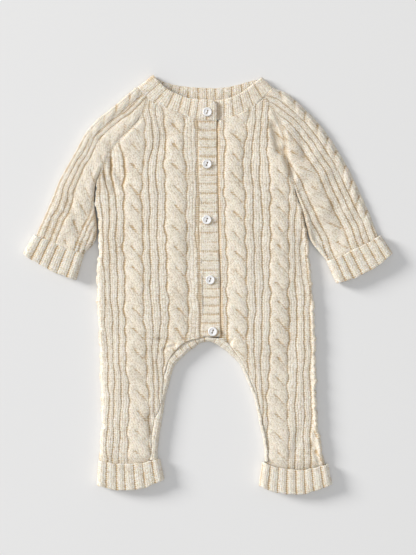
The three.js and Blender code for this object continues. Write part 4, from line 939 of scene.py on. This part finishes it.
def band(name, top, ribbed, start):
    left_at, right_at = across_at(BAND_LEFT), across_at(BAND_RIGHT)
    heights = np.linspace(BAND_END, start, int((start - BAND_END) / 0.8))
    share = np.concatenate([[0, 0.015, 0.04, 0.08], np.linspace(0.12, 0.88, 18), [0.92, 0.96, 0.985, 1]])
    drop = np.concatenate([[0.6, 0.3, 0.1, 0.0], np.zeros(18), [0.1, 0.3, 0.7, 1.3]])[None, :]
    y = np.repeat(heights[:, None], len(share), axis=1)
    down = (195 - heights) / 10.99
    # The ribs sit a little closer near the top
    place = down + 0.22 * np.sin(2 * math.pi * down / 22) + 0.04 * waves(heights, 31)
    place = place[:, None] + 0.05 * waves(share[None, :] * 24, 33)
    ends = smooth(heights - BAND_END, 0, 2)[:, None] * smooth(start - heights, 0, 2)[:, None]
    plain = smooth(heights, BAND_END + 5, BAND_END + 9)[:, None]
    relief = rib_height(place - np.floor(place)) * 0.8 * plain * smooth(share, -0.02, 0.05)[None, :] * ribbed
    relief = relief * smooth(1 - share, -0.02, 0.05)[None, :]
    x = mix(left_at(heights)[:, None], right_at(heights)[:, None], share[None, :])
    x = x + (0.3 * waves(heights, 35)[:, None] + relief * 0.35 - 0.3) * (share > 0.9)[None, :]
    z = top + relief - drop - 1.2 * (1 - ends) + 0.25 * hills(x, y, 37) + smooth(y, 186, 194)
    stitch = y / STITCH
    course = x / COURSE
    # Painted shade in the rib grooves, along both edges and as painted shadow round the buttons
    apart = np.minimum(np.abs(place - np.rint(place)) * 10.99, share[None, :] * 24 + 0.2)
    apart = np.minimum(apart, (1 - share[None, :]) * 24 - 0.1)
    apart = np.minimum(apart, to_painted_button_shadow(x, y))
    return piece_of(name, [cloth(x, y, z, stitch, course, relief - drop, apart, 0 * x, name)], 1.6)


# Buttons


def button(name, place, base):
    """A two-hole shell button, without its thread."""
    profile = [
        (0, 1.95), (2.6, 2.0), (3.4, 2.1), (4.0, 2.4), (4.5, 2.65), (5.0, 2.6),
        (5.4, 2.1), (5.6, 1.3), (5.3, 0.5), (4.3, 0), (0, 0),
    ]
    bm = bmesh.new()
    verts = [bm.verts.new((x * MM, 0, z * MM)) for x, z in profile]
    edges = [bm.edges.new(pair) for pair in zip(verts, verts[1:])]
    bmesh.ops.spin(
        bm, geom=verts + edges, axis=(0, 0, 1), cent=(0, 0, 0), steps=40, angle=2 * math.pi,
        use_merge=True, use_duplicate=False
    )
    bmesh.ops.remove_doubles(bm, verts=bm.verts, dist=1e-6)
    bmesh.ops.recalc_face_normals(bm, faces=bm.faces)
    disc = bpy.data.meshes.new(name)
    bm.to_mesh(disc)
    bm.free()
    body = bpy.data.objects.new(name, disc)
    bpy.context.scene.collection.objects.link(body)
    cutter_mesh = bmesh.new()
    for side in (-1, 1):
        made = bmesh.ops.create_cone(
            cutter_mesh, cap_ends=True, segments=16, radius1=0.95 * MM, radius2=0.95 * MM, depth=9 * MM
        )["verts"]
        bmesh.ops.translate(cutter_mesh, verts=made, vec=(0, side * 1.7 * MM, 0))
    holes = bpy.data.meshes.new("holes")
    cutter_mesh.to_mesh(holes)
    cutter_mesh.free()
    cutter = bpy.data.objects.new("holes", holes)
    bpy.context.scene.collection.objects.link(cutter)
    cut = body.modifiers.new("holes", "BOOLEAN")
    cut.object = cutter
    cut.operation = "DIFFERENCE"
    cut.solver = "EXACT"
    bpy.context.view_layer.update()
    shape = bpy.data.meshes.new_from_object(body.evaluated_get(bpy.context.evaluated_depsgraph_get()))
    body.modifiers.clear()
    bpy.data.objects.remove(cutter)
    bm = bmesh.new()
    bm.from_mesh(shape)
    turn = Matrix.Rotation(math.radians(BUTTON_TURN), 3, "Z")
    bmesh.ops.rotate(bm, verts=bm.verts, cent=(0, 0, 0), matrix=turn)
    middle = ((place[0] + SHIFT[0]) * MM, (place[1] + SHIFT[1]) * MM, base * MM)
    bmesh.ops.translate(bm, verts=bm.verts, vec=middle)
    for face in bm.faces:
        face.smooth = True
    bm.to_mesh(shape)
    bm.free()
    body.data = shape
    return body


def threads(name, bases):
    """The thread from hole to hole of every button, and the stalk of it beneath, as one joined mesh; they are
    dark, as painted shade in the button holes.
    """
    bm = bmesh.new()
    for place, base in zip(BUTTON_PLACES, bases):
        for length, radius, height, turn in ((3.4, 0.32, 2.0, math.pi / 2), (1.2, 3.0, 0.0, 0)):
            made = bmesh.ops.create_cone(
                bm, cap_ends=True, segments=12, radius1=radius * MM, radius2=radius * MM, depth=length * MM
            )["verts"]
            bmesh.ops.rotate(bm, verts=made, cent=(0, 0, 0), matrix=Matrix.Rotation(turn, 3, "X"))
            slant = Matrix.Rotation(math.radians(BUTTON_TURN), 3, "Z")
            bmesh.ops.rotate(bm, verts=made, cent=(0, 0, 0), matrix=slant)
            spot = ((place[0] + SHIFT[0]) * MM, (place[1] + SHIFT[1]) * MM, (base + height) * MM)
            bmesh.ops.translate(bm, verts=made, vec=spot)
    mesh = bpy.data.meshes.new(name)
    bm.to_mesh(mesh)
    bm.free()
    piece = bpy.data.objects.new(name, mesh)
    bpy.context.scene.collection.objects.link(piece)
    return piece


# Materials


class Value:
    """A socket whose sums add Math nodes."""

    def __init__(self, paint, socket):
        self.paint, self.socket = paint, socket

    def math(self, operation, *others):
        return self.paint.node("ShaderNodeMath", dict(operation=operation), [self, *others])

    def __add__(self, other):
        return self.math("ADD", other)

    def __radd__(self, other):
        return self.math("ADD", other)

    def __sub__(self, other):
        return self.math("SUBTRACT", other)

    def __rsub__(self, other):
        return self.paint.node("ShaderNodeMath", dict(operation="SUBTRACT"), [other, self])

    def __mul__(self, other):
        return self.math("MULTIPLY", other)

    def __rmul__(self, other):
        return self.math("MULTIPLY", other)

    def __truediv__(self, other):
        return self.math("DIVIDE", other)

    def __pow__(self, other):
        return self.math("POWER", other)

    def sine(self):
        return self.math("SINE")

    def floor(self):
        return self.math("FLOOR")

    def size(self):
        return self.math("ABSOLUTE")

    def fraction(self):
        return self.math("FRACT")

    def below(self, other):
        return self.math("LESS_THAN", other)

    def clipped(self):
        return self.math("MAXIMUM", 0.0).math("MINIMUM", 1.0)


class Paint:
    """A material under construction."""

    def __init__(self, name):
        self.material = bpy.data.materials.new(name)
        self.material.use_nodes = True
        self.tree = self.material.node_tree
        self.shader = self.tree.nodes["Principled BSDF"]

    def connect(self, socket, value):
        if isinstance(value, Value):
            self.tree.links.new(value.socket, socket)
        else:
            socket.default_value = value

    def node(self, kind, settings=None, sockets=None, output=0):
        made = self.tree.nodes.new(kind)
        for key, value in (settings or {}).items():
            if key == "stops":
                for stop, (place, colour) in zip(made.color_ramp.elements, value):
                    stop.position, stop.color = place, colour
            else:
                setattr(made, key, value)
        items = sockets.items() if isinstance(sockets, dict) else enumerate(sockets or [])
        for key, value in items:
            self.connect(made.inputs[key], value)
        return Value(self, made.outputs[output])

    def set(self, **sockets):
        for key, value in sockets.items():
            self.connect(self.shader.inputs[key.replace("_", " ")], value)

    def blend(self, a, b, part):
        """A colour between a and b."""
        made = self.tree.nodes.new("ShaderNodeMix")
        made.data_type = "RGBA"
        self.connect(made.inputs["Factor"], part)
        self.connect(made.inputs[6], a)
        self.connect(made.inputs[7], b)
        return Value(self, made.outputs[2])


CREAM = (0.84, 0.765, 0.645, 1)
# Darker tone: random tone of the yarn, and painted shade in the stitch pits
OAT = (0.60, 0.51, 0.385, 1)
# Gold-brown of the painted shade in grooves, hollows, troughs and stitch pits
PAINTED_SHADE_GOLD = (0.52, 0.36, 0.185, 1)
# Pale of random flecks and fibres, and of the painted highlight on crests
PALE = (0.95, 0.915, 0.845, 1)


def yarn(name):
    """Cream knit: stitches from the piece's own map, flecks and broad uneven tone, with painted shade in the
    dashed grooves, hollows and stitch pits and a painted highlight on crests.
    """
    paint = Paint(name)
    uv = paint.node("ShaderNodeUVMap", dict(uv_map="stitches"))
    split = paint.node("ShaderNodeSeparateXYZ", None, [uv])
    across = Value(paint, split.socket.node.outputs[0])
    along = Value(paint, split.socket.node.outputs[1])
    place = paint.node("ShaderNodeTexCoord", output=3)

    def noise(scale, detail=1.0, rough=0.5):
        sockets = {"Vector": place, "Scale": scale, "Detail": detail, "Roughness": rough}
        return paint.node("ShaderNodeTexNoise", None, sockets)

    # Two slanting legs make each stitch, with a deep line between stitches and a slight one between the legs;
    # this shape is also painted into the colour, as shade in the pits and highlight on the crests
    side = ((across.fraction() - 0.5) * 2.0).size()
    round_over = 1.0 - side ** 2.0
    crease = (1.0 - side * 4.0).clipped() * 0.25
    sloped = along + side * 0.5 + (noise(240.0) - 0.5) * 0.7
    slant = (sloped.fraction() * math.pi).sine()
    stitch = round_over * 0.6 + slant * 0.4 - crease
    cell = paint.node("ShaderNodeCombineXYZ", None, [across.floor(), sloped.floor()])
    chance = paint.node("ShaderNodeTexWhiteNoise", dict(noise_dimensions="2D"), [cell])
    # Yarn strands lie along the columns
    lying = paint.node("ShaderNodeCombineXYZ", None, [across * 1.9, along * 0.62])
    strand = paint.node(
        "ShaderNodeTexNoise", None, {"Vector": lying, "Scale": 1.0, "Detail": 2.5, "Roughness": 0.65}
    )
    broad = noise(22.0, 2.0)
    fleck = noise(520.0, 2.0, 0.6)
    grain = noise(1000.0, 2.0, 0.6)
    cable = across.below(0.0)
    plain = 1.0 - cable * 0.5
    # Random tone of the yarn, with painted shade in the stitch pits and painted highlight on the stitch
    # crests
    tone = (broad - 0.5) * 0.7 + (strand - 0.5) * 1.8 * plain
    tone = tone + (fleck - 0.5) * (2.4 + cable * 1.4) + (grain - 0.5) * 2.6
    tone = tone + ((chance - 0.5) * 0.5 + (stitch - 0.5) * 0.6) * plain
    base = paint.blend(OAT, CREAM, (tone + 0.78).clipped())
    # Painted highlight on crests and on stitch crests, mixed with random pale flecks
    deep = paint.node("ShaderNodeAttribute", dict(attribute_name="deep"), output=2)
    crest_highlight = ((0.0 - deep) * 2.0).clipped()
    uneven = (strand - 0.5) * 2.0 + (stitch - 0.5) + (chance - 0.5) * 0.7
    pale = crest_highlight * 0.1 + (grain - 0.5) * 2.8 + uneven * plain
    base = paint.blend(base, PALE, pale.clipped() * 0.8)
    # Painted shade: gold-brown beads along the grooves, here and there wide or nearly shut, and gold-brown in
    # hollows, troughs and the pits between stitches
    apart = paint.node("ShaderNodeAttribute", dict(attribute_name="groove"), output=2)
    bead = (((along + noise(300.0) * 0.5).fraction() - 0.5) * 2.0).size()
    width = 0.4 + bead * 0.95 + (noise(110.0, 2.0) - 0.5) * 3.4 + (noise(9.0) - 0.5) * 1.2
    line = ((width - apart) * 1.1 + 0.45).clipped()
    hollow_shade = ((deep - 0.1) * 1.3).clipped()
    gap = ((0.42 - stitch) * 2.8).clipped()
    painted_shade = line * (0.25 + bead * 0.65) + hollow_shade * 0.7 + gap * (0.2 + hollow_shade * 0.4) * plain
    base = paint.blend(base, PAINTED_SHADE_GOLD, painted_shade.clipped())
    height = (stitch * 0.8 + strand * 0.6) * plain + grain * 0.4 + fleck * 0.4 - line * 0.3
    bump = paint.node("ShaderNodeBump", None, {"Strength": 1.0, "Distance": 0.0007, "Height": height})
    paint.set(Base_Color=base, Roughness=0.92, Normal=bump)
    # Light goes a little way through the yarn, which softens the ribs' shadows and warms them
    paint.set(Subsurface_Weight=0.3, Subsurface_Radius=(1.0, 0.78, 0.52), Subsurface_Scale=0.0022)
    paint.set(Sheen_Weight=0.2, Sheen_Roughness=0.5, Specular_IOR_Level=0.2)
    return paint.material


def shell():
    """Pale polished shell with faint cloudy bands."""
    paint = Paint("shell")
    place = paint.node("ShaderNodeTexCoord", output=3)
    cloud = paint.node(
        "ShaderNodeTexNoise", None, {"Vector": place, "Scale": 320.0, "Detail": 2.0, "Distortion": 1.5}
    )
    colour = paint.blend((0.74, 0.73, 0.72, 1), (0.95, 0.95, 0.96, 1), ((cloud - 0.3) * 2.5).clipped())
    paint.set(Base_Color=colour, Roughness=cloud * 0.2 + 0.16, Coat_Weight=0.4, Coat_Roughness=0.12)
    return paint.material


def thread_and_hole_shade_finish():
    paint = Paint("thread")
    place = paint.node("ShaderNodeTexCoord", output=3)
    grain = paint.node("ShaderNodeTexNoise", None, {"Vector": place, "Scale": 900.0, "Detail": 1.0})
    # Dark brown: the thread's own colour, darkened as painted shade in the button holes
    colour = paint.blend((0.16, 0.1, 0.05, 1), (0.3, 0.21, 0.12, 1), ((grain - 0.35) * 2.5).clipped())
    paint.set(Base_Color=colour, Roughness=0.85)
    return paint.material


def floor_finish():
    paint = Paint("pale floor")
    place = paint.node("ShaderNodeTexCoord", output=3)
    grain = paint.node("ShaderNodeTexNoise", None, {"Vector": place, "Scale": 3.0, "Detail": 1.0})
    colour = paint.blend((0.762, 0.762, 0.762, 1), (0.777, 0.777, 0.777, 1), grain)
    paint.set(Base_Color=colour, Roughness=0.9, Specular_IOR_Level=0.1)
    return paint.material


# The garment

cable_knit = yarn("cable knit")
rib_knit = yarn("rib knit")
pearl = shell()

front_left = front(
    "left_front", True, LEFT_SIDE, LEFT_RAGLAN, NECK_LEFT, BAND_LEFT, LEFT_INSEAM, LEFT_HEM,
    LEFT_GROOVES, LEFT_KINDS, LEFT_ROPES, 0.4
)
front_right = front(
    "right_front", False, RIGHT_SIDE, RIGHT_RAGLAN, NECK_RIGHT, BAND_RIGHT, RIGHT_INSEAM, RIGHT_HEM,
    RIGHT_GROOVES, RIGHT_KINDS, RIGHT_ROPES, 1.7
)
back_piece = back()
binding = inseam_binding()
sleeve_left = sleeve("left_sleeve", True, LEFT_SLEEVE, LEFT_SLEEVE_BANDS, LEFT_RAGLAN, LEFT_SIDE, 105, 60)
sleeve_right = sleeve(
    "right_sleeve", False, RIGHT_SLEEVE, RIGHT_SLEEVE_BANDS, RIGHT_RAGLAN, RIGHT_SIDE, 230, 70
)
neck = neckband()
under_band = band("band_beneath", 6.7, 0, 194.6)
top_band = band("band_with_buttonholes", BAND_TOP, 1, BAND_START)

dress(front_left, cable_knit, "front_left")
dress(front_right, cable_knit, "front_right")
dress(back_piece, cable_knit, "back")
dress(binding, cable_knit)
dress(sleeve_left, cable_knit, "sleeve_left")
dress(sleeve_right, cable_knit, "sleeve_right")
dress(neck, rib_knit, "neckband")
dress(under_band, rib_knit, "under_band")
dress(top_band, rib_knit, "button_band")
cuffs = {}
for number, (node, sizes) in enumerate(CUFFS.items()):
    cuffs[node] = dress(cuff(f"turned_{node}", *sizes, 80 + 5 * number), rib_knit, node)
bases = [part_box(f"button_{number}")[0][2] / MM for number in range(1, 6)]
for number, (place, base) in enumerate(zip(BUTTON_PLACES, bases), 1):
    made = button(f"shell_button_{number}", place, base - PRESSED_IN)
    dress(made, pearl, f"button_{number}")
dress(threads("button_threads", [base - PRESSED_IN for base in bases]), thread_and_hole_shade_finish())

# Loose fibres of the yarn

FIBRES_PER_SQUARE_METRE = 42000


def fibres(name, pieces, seed):
    """Short curled fibres that stand a little off the knit, as one joined mesh."""
    chance = np.random.default_rng(seed)
    roots, normals = [], []
    for piece in pieces:
        mesh = piece.data
        count = len(mesh.polygons)
        centres, facing, areas = np.empty(count * 3), np.empty(count * 3), np.empty(count)
        mesh.polygons.foreach_get("center", centres)
        mesh.polygons.foreach_get("normal", facing)
        mesh.polygons.foreach_get("area", areas)
        centres, facing = centres.reshape(-1, 3), facing.reshape(-1, 3)
        areas = np.where(facing[:, 2] > -0.3, areas, 0)
        number = int(areas.sum() * FIBRES_PER_SQUARE_METRE)
        picked = chance.choice(count, number, p=areas / areas.sum())
        roots.append(centres[picked])
        normals.append(facing[picked])
    root, normal = np.vstack(roots), np.vstack(normals)
    number = len(root)
    lean = chance.normal(0, 1, (number, 3))
    lean -= normal * (lean * normal).sum(axis=1, keepdims=True)
    lean /= np.linalg.norm(lean, axis=1, keepdims=True)
    side = np.cross(normal, lean)
    length = chance.uniform(1.2, 3.4, (number, 1)) * MM
    rise = chance.uniform(0.2, 0.75, (number, 1))
    curl = chance.uniform(-0.5, 0.5, (number, 1))
    half = 0.045 * MM
    points = []
    for part in (0, 0.5, 1):
        outward = normal * rise * math.sin(part * 2.0) * 0.6
        spot = root + length * (lean * part * (1 - rise * 0.3) + outward + side * curl * part ** 2)
        for way in (-1, 1):
            points.append(spot + side * half * way * (1 - 0.7 * part))
    points = np.stack(points, axis=1).reshape(-1, 3)
    points[:, 2] = np.maximum(points[:, 2], 0.1 * MM)
    first = (np.arange(number) * 6)[:, None]
    faces = np.concatenate([first + [0, 1, 3, 2], first + [2, 3, 5, 4]])
    mesh = bpy.data.meshes.new(name)
    mesh.from_pydata(points.tolist(), [], faces.tolist())
    piece = bpy.data.objects.new(name, mesh)
    bpy.context.scene.collection.objects.link(piece)
    return piece


def fibre_finish():
    paint = Paint("fibre")
    place = paint.node("ShaderNodeTexCoord", output=3)
    tint = paint.node("ShaderNodeTexNoise", None, {"Vector": place, "Scale": 60.0, "Detail": 1.0})
    paint.set(Base_Color=paint.blend(CREAM, PALE, tint), Roughness=0.8, Specular_IOR_Level=0.2)
    return paint.material


hairy = [front_left, front_right, sleeve_left, sleeve_right, neck, top_band, *cuffs.values()]
fuzz = fibres("yarn_fibres", hairy, 12)
dress(fuzz, fibre_finish())

# Camera, straight above as in the photograph

VIEW_WIDTH, VIEW_HEIGHT = 0.4992, 0.666
LENS, SENSOR = 85.0, 36.0
camera_data = bpy.data.cameras.new("camera")
camera_data.lens = LENS
camera_data.sensor_width = SENSOR
camera = bpy.data.objects.new("camera", camera_data)
bpy.context.scene.collection.objects.link(camera)
camera.location = (SHIFT[0] * MM, (7.8 + SHIFT[1]) * MM, VIEW_HEIGHT / 2 / (SENSOR / 2 / LENS) + LAID * MM)
bpy.context.scene.camera = camera

# Floor and soft studio light

bm = bmesh.new()
bmesh.ops.create_grid(bm, x_segments=2, y_segments=2, size=3)
floor_mesh = bpy.data.meshes.new("floor")
bm.to_mesh(floor_mesh)
bm.free()
floor = bpy.data.objects.new("floor", floor_mesh)
bpy.context.scene.collection.objects.link(floor)
floor_mesh.materials.append(floor_finish())


def lamp(name, place, target, size, power, colour):
    light = bpy.data.lights.new(name, "AREA")
    light.shape = "DISK"
    light.size = size
    light.energy = power
    light.color = colour
    made = bpy.data.objects.new(name, light)
    made.location = place
    made.rotation_euler = (Vector(target) - Vector(place)).to_track_quat("-Z", "Y").to_euler()
    bpy.context.scene.collection.objects.link(made)


lamp("window", (-8.6, 3.6, 3.75), (0, 0, 0), 3.4, 1105, (1, 0.99, 0.975))
lamp("ceiling", (0.3, -0.3, 3.4), (0, 0, 0), 3.0, 30, (1, 1, 1))
world = bpy.data.worlds.new("studio")
world.use_nodes = True
world.node_tree.nodes["Background"].inputs[0].default_value = (0.985, 0.99, 1, 1)
world.node_tree.nodes["Background"].inputs[1].default_value = 0.405
bpy.context.scene.world = world
bpy.context.scene.view_settings.view_transform = "Standard"
